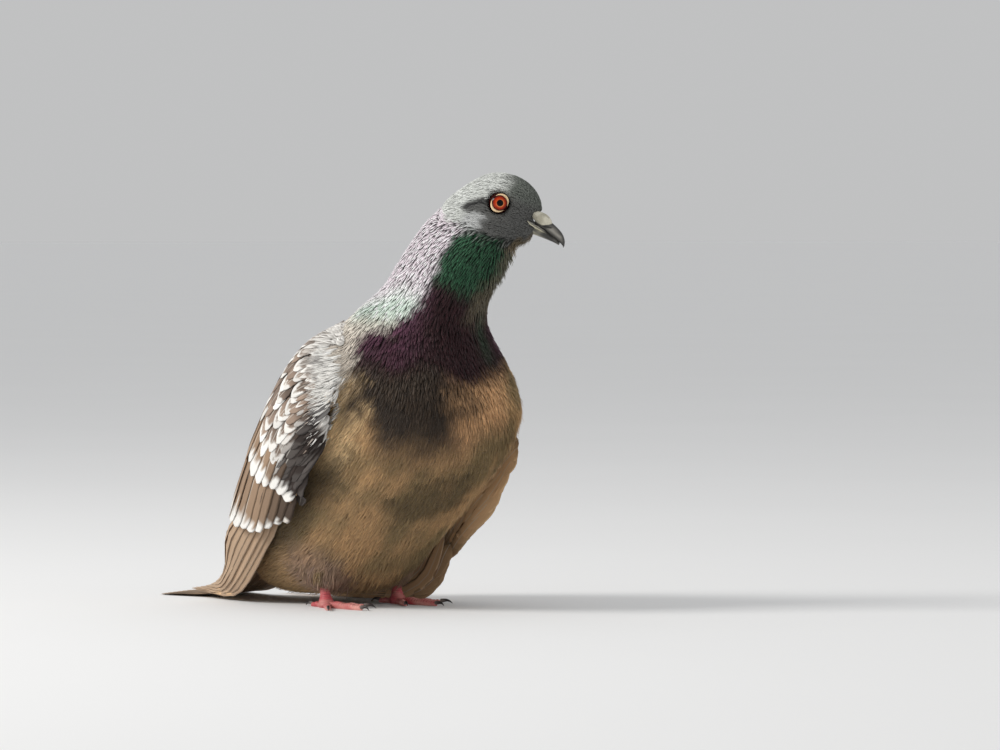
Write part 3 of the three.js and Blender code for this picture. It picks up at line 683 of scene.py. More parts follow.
def fused_flesh():
    """The flesh nodes fused into one closed surface of small quads."""
    points, faces, start = [], [], 0
    for name in FLESH:
        corners, triangles = welded(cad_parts[name])
        corners = corners + SWELL * corner_normals(corners, triangles)
        points.append(corners)
        faces.append(triangles + start)
        start += len(corners)
    points = np.vstack(points)
    mesh = bpy.data.meshes.new("flesh_source")
    mesh.from_pydata(points.tolist(), [], np.vstack(faces).tolist())
    source = bpy.data.objects.new("flesh_source", mesh)
    bpy.context.scene.collection.objects.link(source)
    remesh = source.modifiers.new("fuse", "REMESH")
    remesh.mode, remesh.voxel_size = "VOXEL", VOXEL
    evaluated = source.evaluated_get(bpy.context.evaluated_depsgraph_get())
    fused = bpy.data.meshes.new_from_object(evaluated)
    corners = np.zeros(len(fused.vertices) * 3)
    fused.vertices.foreach_get("co", corners)
    quads = np.zeros(len(fused.loops), np.int32)
    fused.loops.foreach_get("vertex_index", quads)
    bpy.data.objects.remove(source)
    return corners.reshape(-1, 3), quads.reshape(-1, 4)


def smoothed(values, faces, rounds, strength=0.5):
    """Values at corners, averaged with their neighbours' some rounds over."""
    pairs = np.concatenate([np.stack([faces[:, i], faces[:, (i + 1) % 4]], 1) for i in range(4)])
    pairs = np.concatenate([pairs, pairs[:, ::-1]])
    count = np.bincount(pairs[:, 0], minlength=len(values)).astype(float)
    values = values.astype(float)
    for _ in range(rounds):
        total = np.stack([
            np.bincount(pairs[:, 0], weights=values[pairs[:, 1], i], minlength=len(values))
            for i in range(values.shape[1])
        ], axis=1)
        values = values + strength * (total / np.maximum(count, 1)[:, None] - values)
    return values


def place_tree(places):
    """A search tree for the nearest of some places."""
    tree = KDTree(len(places))
    for i, place in enumerate(places):
        tree.insert(place, i)
    tree.balance()
    return tree


def flow_samples():
    """Points over the bird with the way the feathers lie there, the zone, and a place on the unwrap."""
    places, headings, zones, charts = [], [], [], []

    def add(zone, surface, rows, columns, chart, backwards=False):
        share = np.repeat(np.linspace(0.01, 0.99, rows), columns)
        turn = np.tile((np.arange(columns) + 0.5) / columns, rows)
        small = 0.006
        run = surface(np.minimum(share + small, 1), turn) - surface(np.maximum(share - small, 0), turn)
        places.append(surface(share, turn))
        headings.append(unit(run) * (-1 if backwards else 1))
        zones.append(np.full(len(share), zone))
        charts.append(np.stack([share, turn], 1) * chart[2:] + chart[:2])

    full = 2 * math.pi
    add(BODY_ZONE, lambda s, t: body_surface(s, (t - 0.5) * full), 80, 64, BODY_MAP, backwards=True)
    add(HEAD_ZONE, lambda s, t: head_surface(s, (t - 0.5) * full), 44, 44, HEAD_MAP, backwards=True)
    for k, (_, side, inner, _) in enumerate(SIDES):
        add(LEG_ZONE, lambda s, t: limb_surface(THIGH, side, s, t * full), 12, 20, LEG_MAP + k * NEXT_SIDE)
        add(WING_ZONE + k, lambda s, t: wing_surface(inner, side, s * COVERTS_END, t), 30, 26,
            WING_MAP + k * NEXT_SIDE)
    return tuple(np.concatenate(group) for group in (places, headings, zones, charts))


def on_wing(chart, k):
    """How far from bend to tip, and how far across, a place on the unwrap is on wing k."""
    share, across = ((chart - WING_MAP[:2] - NEXT_SIDE[:2] * np.reshape(k, (-1, 1))) / WING_MAP[2:]).T
    return share * COVERTS_END, across


def wing_chart(share, across, k):
    """The reverse of on_wing."""
    inside = np.clip(share, 0, COVERTS_END) / COVERTS_END
    return np.stack([inside, across], 1) * WING_MAP[2:] + WING_MAP[:2] + NEXT_SIDE[:2] * k


skin_points, skin_quads = fused_flesh()
skin_points = smoothed(skin_points, skin_quads, 6)
skin_normals = corner_normals(skin_points, skin_quads)
sample_places, sample_headings, sample_zones, sample_charts = flow_samples()
sample_tree = place_tree(sample_places)
NEAR = 4  # samples that each corner of the skin takes its values from
found = [sample_tree.find_n(place, NEAR) for place in skin_points]
near = np.array([[hit[1] for hit in hits] for hits in found])
weight = 1 / (np.array([[hit[2] for hit in hits] for hits in found]) + 0.5)
weight /= weight.sum(1, keepdims=True)
skin_zone = sample_zones[near[:, 0]]
same = (sample_zones[near] == skin_zone[:, None]) * weight
same /= same.sum(1, keepdims=True)
skin_chart = (sample_charts[near] * same[:, :, None]).sum(1)
wraps = np.ptp(sample_charts[near][:, :, 1], axis=1) > 0.2
skin_chart[wraps] = sample_charts[near[wraps, 0]]
skin_flow = smoothed((sample_headings[near] * weight[:, :, None]).sum(1), skin_quads, 5)
skin_flow = unit(skin_flow - skin_normals * (skin_flow * skin_normals).sum(1, keepdims=True))

# The skin sinks by the depth of the coat, and further under the cere.
HEAD_DEPTH, LEG_DEPTH, WING_COAT_DEPTH, BODY_DEPTH, NECK_THINNER, CERE_DEPTH = 0.9, 0.5, 0.9, 2.0, 0.6, 1.5
coat_depth = np.select(
    [skin_zone == HEAD_ZONE, skin_zone == LEG_ZONE, skin_zone >= WING_ZONE],
    [HEAD_DEPTH, LEG_DEPTH, WING_COAT_DEPTH],
    BODY_DEPTH - NECK_THINNER * step(120, 150, skin_points[:, 2]),
)
depth = smoothed((coat_depth + SWELL)[:, None], skin_quads, 8)
ahead, _, above = to_head(skin_points).T
cere_bed = hump(ahead, 20.5, 3.0) * hump(above, 2.4, 2.8) * (skin_zone == HEAD_ZONE)
depth = depth + CERE_DEPTH * cere_bed[:, None]
skin_points = smoothed(skin_points - skin_normals * depth, skin_quads, 3, 0.4)
skin_normals = corner_normals(skin_points, skin_quads)


def body_chart():
    """For each corner of the skin, how far along the trunk and neck it is, and its angle from the back."""
    share = np.repeat(np.linspace(0.01, 1, 90), 90)
    angle = np.tile(np.linspace(-math.pi, math.pi, 90, endpoint=False), 90)
    tree = place_tree(body_surface(share, angle))
    hits = np.array([tree.find(place)[1] for place in skin_points])
    return share[hits], angle[hits]


skin_share, skin_angle = body_chart()


def coat_colour(points, corner):
    """Markings, with painted light and shade, at points of the skin, on any part of it. corner: the corner of
    the skin nearest to each.
    """
    zone, chart = skin_zone[corner], skin_chart[corner]
    colour = body_colour(points, skin_share[corner], skin_angle[corner])
    forward, _, up = to_head(points).T
    border = up + 15.8 - 0.55 * np.maximum(-11.5 - forward, 0) + 1.3 * patchy(points, 4, 17)
    on_head = step(-1.4, 1.4, border) * (skin_share[corner] > 0.8)
    on_head = on_head + (zone == HEAD_ZONE) * step(-5, -3, border)
    colour = mixed(colour, head_colour(points), np.clip(on_head, 0, 1) * (up > -24))
    for _, side, *_ in SIDES:
        apart = np.hypot(points[:, 0] - side * FOOT_X, 0.8 * (points[:, 1] - 1))
        near_leg = step(19, 10, apart + 2 * patchy(points, 5, 52)) * step(42, 22, points[:, 2])
        colour = mixed(colour, LEG_GREY, near_leg * 0.75)
    leg = zone == LEG_ZONE
    colour[leg] = mixed(OLIVE, LEG_GREY, step(-0.9, 0.6, patchy(points[leg], 8, 51)))
    for k in range(len(SIDES)):
        mine = zone == WING_ZONE + k
        if not mine.any():
            continue
        share, across = on_wing(chart[mine], k)
        bend = step(0.15, 0.10, share) * step(0.20, 0.33, across) * step(1.1, 0.99, across)
        streaks = step(0.1, 0.8, patchy(points[mine], 4, 53)) * step(0.03, 0.07, share)
        streaks = streaks * step(0.72, 0.55, across)
        above = painted(
            TAUPE,
            # A dark band near the lower edge: partly the wing's own dark brown, partly painted shade.
            (DARK_BROWN, step(0.62, 0.8, across) * step(0.28, 0.42, share)),
            (WHITE, 0.6 * step(0.34, 0.2, share) * step(0.56, 0.42, across)),
            (WHITE, bend),
            (STREAK_GREY, 0.75 * streaks),
        )
        colour[mine] = mixed(under_wing_colour(points[mine], share, across), above, wing_side[corner][mine])
    return colour


def wing_outwardness():
    """1 on the outer face of a wing's skin, 0 on its inner face."""
    faces_out = np.zeros(len(skin_points))
    for k, (_, side, inner, _) in enumerate(SIDES):
        mine = skin_zone == WING_ZONE + k
        outer = wing_frame(inner, side, *on_wing(skin_chart[mine], k))[1]
        faces_out[mine] = step(-0.35, 0.1, (outer * skin_normals[mine]).sum(1))
    return faces_out


wing_side = wing_outwardness()
# The down between the feathers is darker than they are, least on the wings.
DOWN_TONE, WING_DOWN_TONE = 0.55, 0.85
down_tone = np.where(skin_zone >= WING_ZONE, WING_DOWN_TONE, DOWN_TONE)[:, None]
skin_colour = coat_colour(skin_points, np.arange(len(skin_points)))
skin = mesh_object("skin", skin_points, skin_quads, DOWN, skin_colour * down_tone, sides=4)
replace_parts(skin, *FLESH)

# ------------------------------------------------------------------ feathers

skin_tree = BVHTree.FromPolygons(skin_points.tolist(), skin_quads.tolist())
face_normals = unit(skin_normals[skin_quads].mean(1))
face_flow = unit(skin_flow[skin_quads].mean(1))
TRIES = 7  # places tried for each square of the spacing
CELL = 0.92  # side of the cells that hold at most one place, in spacings


def scatter(wanted, spacing, seed):
    """Even but irregular places on the faces of the skin that are wanted: (place, normal, flow, corner)."""
    rng = np.random.default_rng(seed)
    faces = np.flatnonzero(wanted[skin_quads].any(1))
    corners = skin_points[skin_quads[faces]]
    diagonals = corners[:, 2] - corners[:, 0], corners[:, 3] - corners[:, 1]
    area = 0.5 * np.linalg.norm(np.cross(*diagonals), axis=1)
    count = int(area.sum() / spacing ** 2 * TRIES)
    pick = rng.choice(len(faces), count, p=area / area.sum())
    u, v = rng.random(count)[:, None], rng.random(count)[:, None]
    quad = corners[pick]
    place = (1 - u) * ((1 - v) * quad[:, 0] + v * quad[:, 3]) + u * ((1 - v) * quad[:, 1] + v * quad[:, 2])
    for shift in (0, 0.5):
        cells = np.floor(place / (spacing * CELL) + shift).astype(np.int64)
        first = np.sort(np.unique(cells, axis=0, return_index=True)[1])
        place, pick, u, v = place[first], pick[first], u[first], v[first]
    nearest = (u[:, 0] > 0.5) * 1
    nearest = np.where(v[:, 0] > 0.5, 3 - nearest, nearest)
    corner = skin_quads[faces[pick], nearest]
    kept = wanted[corner]
    return place[kept], face_normals[faces[pick]][kept], face_flow[faces[pick]][kept], corner[kept]


def laid(place, heading, lengths, shares):
    """Lays feathers along the skin: their points and normals at shares of their lengths."""
    points, normals = [place], []
    for before, share in zip(shares, shares[1:]):
        ahead = points[-1] + heading * (lengths * (share - before))[:, None]
        hits = [skin_tree.find_nearest(p) for p in ahead]
        points.append(np.array([hit[0] for hit in hits]))
        face = np.array([hit[2] for hit in hits])
        up, local = face_normals[face], face_flow[face]
        heading = 0.65 * heading + 0.35 * local * np.sign((local * heading).sum(1, keepdims=True))
        heading = unit(heading - up * (heading * up).sum(1, keepdims=True))
        normals.append(up)
    return np.stack(points, 1), np.stack(normals[:1] + normals, 1)


def outline(shares, point):
    """Half width of a feather at shares of its length. point 1 is round ended, and more is sharper."""
    shares = np.asarray(shares, float)
    root = np.minimum(1, (shares / 0.3) ** 0.55)
    return root * np.maximum(1 - shares ** (5 / point), 0) ** (0.42 + 0.2 * point)


def feathers(points, normals, widths, lifts, camber, shares, ribs, slant=0.0, thickness=0.0):
    """Closed feathers. points, normals: (count, stations, 3), root first and tip last. widths, lifts: half
    the width, and the height over the surface, at each station. ribs: where the points across a feather lie,
    from -1 to 1. slant: how far the edges lean. With a thickness, a feather has an upper and a lower face.
    Returns corners and faces, and for each corner its feather, its share along, its side, and whether it is
    on the lower face."""
    count, stations = points.shape[:2]
    run = np.gradient(points, axis=1)
    across = unit(np.cross(run, normals))
    up = unit(np.cross(across, run))[:, 1:-1, None]
    middle = points + normals * lifts[:, :, None]
    ribs = np.asarray(ribs, float)
    aside, half = ribs[None, None, :, None], widths[:, 1:-1, None, None]
    rings = (middle[:, 1:-1, None] + across[:, 1:-1, None] * (aside * half)
             + up * (camber * (1 - aside ** 2) * half + slant * aside))
    below = np.zeros(len(ribs))
    if thickness:
        rings = np.concatenate([rings, rings[:, :, -2:0:-1] - up * thickness], axis=2)
        below = np.append(below, np.ones(len(ribs) - 2))
        ribs = np.append(ribs, ribs[-2:0:-1])
    wide, rows = len(ribs), stations - 2
    size = 2 + rows * wide
    corners = np.concatenate([middle[:, :1], rings.reshape(count, rows * wide, 3), middle[:, -1:]], axis=1)
    ring = np.arange(wide)
    following = (ring + 1) % wide
    faces = [np.stack([np.zeros(wide, int), 1 + following, 1 + ring], 1)]
    for row in range(rows - 1):
        a, b = 1 + row * wide + ring, 1 + row * wide + following
        faces += [np.stack([a, b, b + wide], 1), np.stack([a, b + wide, a + wide], 1)]
    base = 1 + (rows - 1) * wide
    faces.append(np.stack([base + ring, base + following, np.full(wide, size - 1)], 1))

    def each(ring_values, last=0.0):
        return np.tile(np.concatenate([[0.0], ring_values, [last]]), count)

    return {
        "corners": corners.reshape(-1, 3),
        "faces": (np.concatenate(faces)[None] + (np.arange(count) * size)[:, None, None]).reshape(-1, 3),
        "count": count,
        "which": np.repeat(np.arange(count), size),
        "along": each(np.repeat(shares[1:-1], wide), last=1.0),
        "side": each(np.tile(ribs, rows)),
        "below": each(np.tile(below, rows)),
    }


def vane_vectors(part, rng):
    """What the feather materials read: along, side, and a random number for each feather."""
    return np.stack([part["along"], part["side"], rng.random(part["count"])[part["which"]]], 1)


def tuft_uvs(chart, part):
    """A small patch for each tuft at its root's place on the unwrap of the skin."""
    patch = 0.003
    spread = np.stack([part["along"] - 0.5, part["side"] / 2], 1)
    return np.clip(chart[part["which"]] + patch * spread, 0.001, 0.999)


def coat_piece(name, wanted, spacing, seed, length, width, height, material, point=1.5,
               shares=(0.3, 0.62, 0.86), camber=0.35, shade=0.45, ramp=(0.05, 0.7), spread=0.16,
               stray=0.12, tone_depth=0.12, keep=None, lift=None):
    """Feathers scattered over part of the skin. spacing, length, width and height are in mm. All but spacing,
    and shade and tone_depth, are numbers or functions of place."""
    rng = np.random.default_rng(seed)
    place, normal, flow, corner = scatter(wanted, spacing, seed)
    if keep is not None:
        kept = keep(place)
        place, normal, flow, corner = place[kept], normal[kept], flow[kept], corner[kept]
    count = len(place)

    def at_place(value):
        return value(place) if callable(value) else np.full(count, float(value))

    lengths = at_place(length) * rng.uniform(0.82, 1.18, count)
    widths = at_place(width) * rng.uniform(0.85, 1.15, count)
    heights = at_place(height) * rng.uniform(0.8, 1.2, count)
    tilt = rng.normal(0, spread, count)[:, None]
    heading = unit(flow * np.cos(tilt) + np.cross(normal, flow) * np.sin(tilt))
    stations = np.concatenate([[0], shares, [1]])
    points, normals = laid(place, heading, lengths, stations)
    rise = stations[None] ** 0.8
    lifts = heights[:, None] * rise
    if stray:
        lifts = lifts + (rng.random(count) < 0.06)[:, None] * stray * 3 * lifts
    if lift is not None:
        lifts = lifts + (lift(place) * rng.uniform(0.3, 1.3, count) * lengths)[:, None] * rise ** 1.5
    half = 0.5 * widths[:, None] * outline(stations, point)[None]
    part = feathers(points, normals, half, lifts, camber, stations, (-1, 0, 1))
    which = part["which"]
    tone = np.exp(rng.normal(0, 1, count) * at_place(tone_depth))
    root_shade = at_place(shade)[which]
    dark = np.clip(1 - root_shade + root_shade * step(*ramp, part["along"]), 0, 1) * tone[which]
    colours = np.clip(coat_colour(place, corner)[which] * dark[:, None], 0, 0.92)
    made = mesh_object(name, part["corners"], part["faces"], material, colours, vane_vectors(part, rng),
                       tuft_uvs(skin_chart[corner], part))


IN_HEAD = skin_zone == HEAD_ZONE
IN_BODY = skin_zone == BODY_ZONE
IN_LEG = skin_zone == LEG_ZONE
IN_WING = skin_zone >= WING_ZONE
# The neck's feathers and the body's plumes meet at a ragged line round the bird, and overlap a little.
NECK_LINE, PLUMES_TO = 0.585, 0.61
neck_edge = skin_share + 0.016 * patchy(skin_points, 8, 33) + 0.008 * patchy(skin_points, 3, 34)
NECK_SKIN = IN_BODY & (neck_edge > NECK_LINE)
BODY_SKIN = (IN_BODY & ~NECK_SKIN) | IN_LEG
PLUME_SKIN = BODY_SKIN | (IN_BODY & (neck_edge < PLUMES_TO))


def clear_of_face(place):
    """True where feathers can grow: off the eyes, the bill and the cere."""
    forward, _, up = to_head(place).T
    kept = np.ones(len(place), bool)
    for side in (1, -1):
        seat = EYE_PLACE * np.array([1, side, 1])
        look = unit(EYE_OUTWARD * np.array([1, side, 1]))
        apart = to_head(place) - seat
        off_axis = np.linalg.norm(apart - (apart @ look)[:, None] * look, axis=1)
        margin = np.where(apart[:, 0] > 0, 0.15, -0.3)
        kept &= ~((off_axis < RING_RADIUS + margin) & (apart @ look > 0))
    bill = (forward > 21.4) & (up > -5.5) & (up < 6)
    cere = ((forward - 23.6) / 5.6) ** 2 + ((up - 3.6) / 3.1) ** 2 < 1
    gape = (forward > 17.2) & (np.abs(up + 0.4 + 0.28 * (forward - 17.3)) < 0.65)
    return kept & ~bill & ~cere & ~gape


def from_bill(near_bill, far):
    """A number that changes from the bill to the back of the head."""
    return lambda place: near_bill + (far - near_bill) * step(22, -14, to_head(place)[:, 0])


def down_neck(top, bottom):
    return lambda place: top + (bottom - top) * step(195, 135, place[:, 2])


def neck_width(place):
    return down_neck(1.15, 1.95)(place) * (0.5 + 0.5 * step(88, 122, place[:, 2]))


def neck_height(place):
    return down_neck(0.9, 1.3)(place) * (0.6 + 0.4 * step(88, 115, place[:, 2]))


def neck_shade(place):
    """How dark the roots are: most on the upper neck, where the feathers part in streaks."""
    z = place[:, 2]
    return 0.25 + 0.3 * step(95, 128, z) + 0.3 * step(152, 172, z)


def chin_lift(place):
    """How far the ragged feathers of the chin and throat stand out."""
    return 0.55 * chin_share(place)


def face_length(place):
    return from_bill(1.7, 3.3)(place) + 2.2 * chin_share(place)


def crown_share(place):
    forward, _, up = to_head(place).T
    return np.maximum(step(3, 8, up - 0.1 * forward) * step(11, 3, forward), step(-11, -16, forward))


def bands(limits):
    """Numbers, names and masks of bands of the skin between heights."""
    height = skin_points[:, 2]
    return [(k, label, (height >= low) & (height < high)) for k, (label, low, high) in enumerate(limits)]


coat_piece("head_coat", IN_HEAD, spacing=0.64, seed=101, length=face_length, width=from_bill(0.65, 0.92),
           height=from_bill(0.35, 0.6), material=FINE, point=1.7, keep=clear_of_face,
           ramp=(0.35, 0.8), spread=0.13, shade=lambda place: 0.3 + 0.16 * crown_share(place),
           lift=chin_lift, tone_depth=lambda place: 0.07 + 0.11 * crown_share(place))
for k, label, band in bands([("upper", 164, 300), ("middle", 141, 164), ("base", 0, 141)]):
    coat_piece(f"neck_coat_{label}", NECK_SKIN & band, spacing=1.15, seed=140 + k, length=down_neck(4.6, 7.4),
               width=neck_width, height=neck_height, material=NECK_GLOSS, point=2.3,
               shares=(0.25, 0.5, 0.72, 0.9), shade=neck_shade, ramp=(0.32, 0.66), spread=0.17,
               tone_depth=0.17, lift=chin_lift)
coat_piece("body_coat", BODY_SKIN, spacing=2.5, seed=103, length=8.5, width=4.2, height=0.15,
           material=CONTOUR, point=1.3, camber=0.12, shade=0.35, tone_depth=0.06)

LEFT_BREAST = np.array([34.0, -78.0, 90.0])
# Where plumes stand out, and how far round: the wrists of the drooped and folded wings, and the left breast
FULL_SPOTS = [
    (np.array([49.0, -50.0, 96.0]), 14.0),
    (np.array([-46.0, -42.0, 104.0]), 11.0),
    (LEFT_BREAST, 20.0),
]


def round_spot(place, centre, reach):
    return np.exp(-(((place - centre) ** 2).sum(1)) / reach ** 2)


def plume_lift(place):
    """How far plumes stand out: a little over the legs, and more at the full spots."""
    legs = step(40, 24, place[:, 2]) * step(0, 14, place[:, 2])
    return 0.2 * legs + 0.3 * sum(round_spot(place, centre, reach) for centre, reach in FULL_SPOTS)


def plume_length(place):
    return 6.0 + 3.0 * step(34, 14, place[:, 2]) + 2.0 * round_spot(place, LEFT_BREAST, 24.0)


for k, label, band in bands([("upper", 96, 300), ("chest", 66, 96), ("belly", 36, 66), ("lower", -10, 36)]):
    coat_piece(f"body_plumes_{label}", PLUME_SKIN & band, spacing=0.95, seed=110 + k, length=plume_length,
               width=0.62, height=0.85, material=FINE, point=2.6, shares=(0.35, 0.75),
               camber=0.5, shade=0.22, spread=0.17, stray=0.5, tone_depth=0.13, lift=plume_lift)

skin_x, skin_y, skin_z = skin_points.T
by_legs = (np.hypot(np.abs(skin_x) - FOOT_X, skin_y - 1) < 13) & (skin_z < 34)
coat_piece("thigh_plumes", BODY_SKIN & by_legs, spacing=1.15, seed=120, length=9.5, width=0.75, height=1.0,
           material=FINE, point=2.6, shares=(0.3, 0.6, 0.85), camber=0.5, shade=0.3,
           spread=0.3, stray=0.8, tone_depth=0.16, lift=lambda place: 0.28 * step(30, 12, place[:, 2]))

# ------------------------------------------------------------------ wings and tail

BROAD_RIBS = np.array([-1, -0.72, -0.38, 0, 0.38, 0.72, 1])
SMALL_RIBS = np.array([-1, -0.8, -0.54, -0.27, 0, 0.27, 0.54, 0.8, 1])


def joined_piece(name, parts):
    """One piece made of several rows of feathers."""
    starts = np.cumsum([0] + [len(part["corners"]) for part in parts[:-1]])
    faces = np.vstack([part["faces"] + start for part, start in zip(parts, starts)])
    corners, colours, vectors, uvs = (
        np.vstack([part[key] for part in parts]) for key in ("corners", "colours", "vectors", "uvs")
    )
    made = mesh_object(name, corners, faces, FLIGHT, colours, vectors, uvs)
    return made


def wing_row(hand, side, root, tip, across_root, across_tip, widths, lifts, point, paint, seed,
             steps=12, ribs=BROAD_RIBS, camber=0.12, slant=0.3, thickness=0.25, inner=False):
    """A row of feathers on a wing. root, tip: from bend to tip. across_*: from back edge to lower edge.
    lifts: heights over the wing at root and tip."""
    rng = np.random.default_rng(seed)
    count = len(root)
    shares = np.concatenate([[0], 1 - (1 - np.linspace(0.06, 0.985, steps)) ** 1.25, [1]])
    t = shares[None]
    share = root[:, None] + (tip - root)[:, None] * t
    across = across_root[:, None] + (across_tip - across_root)[:, None] * t
    place, outward = wing_frame(hand, side, share.ravel(), across.ravel(), inner)
    points, normals = place.reshape(count, -1, 3), outward.reshape(count, -1, 3)
    heights = lifts[0] + (lifts[1] - lifts[0]) * np.tile(t, (count, 1))
    uneven = 1 + 0.03 * rng.normal(size=(count, len(shares)))
    half = 0.5 * widths[:, None] * outline(shares, point)[None] * uneven
    part = feathers(points, normals, half, heights, camber, shares, ribs, slant * side, thickness)
    part["colours"] = np.clip(paint(part), 0, 0.92)
    part["vectors"] = vane_vectors(part, rng)
    return part


def strip_uvs(part, index, total):
    """Flight feathers are few and large, so each has a strip of the map to itself."""
    u = (index + part["which"] + 0.5 + 0.45 * part["side"]) / total
    return np.stack([u, 0.02 + 0.96 * part["along"]], 1)


def length_along(hand, side, across):
    """Length of a wing from bend to tip at each place across it."""
    steps = np.linspace(0, 1, 12)
    lines = [wing_surface(hand, side, steps, np.full(12, a)) for a in across]
    return np.array([np.linalg.norm(np.diff(line, axis=0), axis=1).sum() for line in lines])


def covert_paint(rng, share, across):
    """Taupe coverts: white spade-shaped tips, streaked shoulders, a dark lower border that is partly painted
    shade, and a grey spot.
    """
    count = len(across)
    white = (rng.random(count) < 0.62 + 0.3 * step(0.35, 0.5, across)) * rng.uniform(0.85, 1.0, count)
    depth = rng.uniform(0.32, 0.66, count)
    wide = rng.uniform(0.5, 1.0, count)
    tone = np.exp(rng.normal(0, 0.1, count))
    dusky = rng.random(count) < 0.45

    def paint(part):
        which, along, side = part["which"], part["along"], part["side"]
        aside, u, v = np.abs(side), share[which], across[which]
        from_bend = u - 0.16 * (1 - along)
        # The lower border's dark is partly the coverts' own dark brown and partly painted shade.
        dark_and_shaded_border = step(0.68, 0.77, v) * step(0.09, 0.15, from_bend)
        shoulder = step(0.34, 0.2, u) * step(0.56, 0.42, v)
        centre = step(0.62, 0.3, aside + 0.9 * np.abs(along - 0.72)) * (0.35 + 0.65 * dusky[which])
        streaked = painted(WHITE, (TAUPE, 0.15), (STREAK_GREY, centre))
        edge = 1 - depth[which] * (0.35 + 0.9 * wide[which] * aside)
        edge = edge + 0.035 * np.sin(19 * side + 5 * which) + 0.02 * np.sin(41 * side + 3 * which)
        spot = np.clip(1.3 * hump(u, 0.20, 0.075) * hump(v, 0.74, 0.07), 0, 1)
        pale = step(edge - 0.03, edge + 0.03, along) * white[which] * (1 - 0.95 * dark_and_shaded_border) * (1 - 0.6 * spot)
        colour = painted(
            TAUPE,
            (DARK_BROWN, dusky[which] * 0.35),
            (DARK_BROWN, dark_and_shaded_border),
            (streaked, shoulder),
            (WHITE, pale * (1 - 0.5 * shoulder)),
            (WHITE, step(0.15, 0.09, from_bend) * step(0.26, 0.36, v) * 0.9),
            (SPOT_GREY, spot * 0.85),
            (DARK_BROWN, hump(aside, 0, 0.12) * 0.3 * (1 - pale) * step(0.9, 0.5, along)),
        )
        # Each covert is darker towards its root, under the row before: painted shade.
        return colour * (tone[which] * (0.6 + 0.4 * step(0.35, 0.7, along)))[:, None]

    return paint


def flight_paint(rng, count, ground, tip_colour, band, under, rim=0.2, rim_colour=DARK_BROWN):
    """Long feathers: a ground colour, edges, and a scalloped pale band at the tip. The colours and the band's
    breadth are one for all, or one for each feather."""
    tone = np.exp(rng.normal(0, 0.05, count))
    ragged = rng.uniform(0.85, 1.15, count)
    ground, tip_colour, under = (np.broadcast_to(one, (count, 3)) for one in (ground, tip_colour, under))
    band = np.broadcast_to(band, count)

    def paint(part):
        which, along, side = part["which"], part["along"], part["side"]
        start = 1 - band[which] * ragged[which] * (1 + 0.22 * np.sin(7 * side + 2 * which))
        pale = step(start - 0.02, start + 0.02, along) * (band[which] > 0)
        edges = step(0.6, 1.0, np.abs(side)) * rim
        colour = painted(ground[which], (rim_colour, edges), (tip_colour[which], pale))
        # Darker towards the root, under the feathers before it: painted shade.
        colour = colour * (tone[which] * (0.62 + 0.38 * step(0.0, 0.35, along)))[:, None]
        return mixed(colour, under[which] * tone[which][:, None], part["below"])

    return paint


COVERT_ROWS = [0.06, 0.105, 0.15, 0.20, 0.255, 0.31, 0.37, 0.43, 0.495, 0.56, 0.63]  # shares from bend to tip
EDGE_CHART = np.array([0.9, 0.67])  # where the drooped wing's edge feathers lie on the unwrap
LONG_COVERT, GREATER_COVERT = 24.0, 34.0  # lengths in mm
FLOOR_GAP = 0.3  # the wings' feathers stay this far above the floor, in mm


def staggered(many, row):
    """Places across a wing for a row of feathers, behind the gaps of the row before."""
    return (np.arange(many) + (0.25 if row % 2 else 0.75)) / many


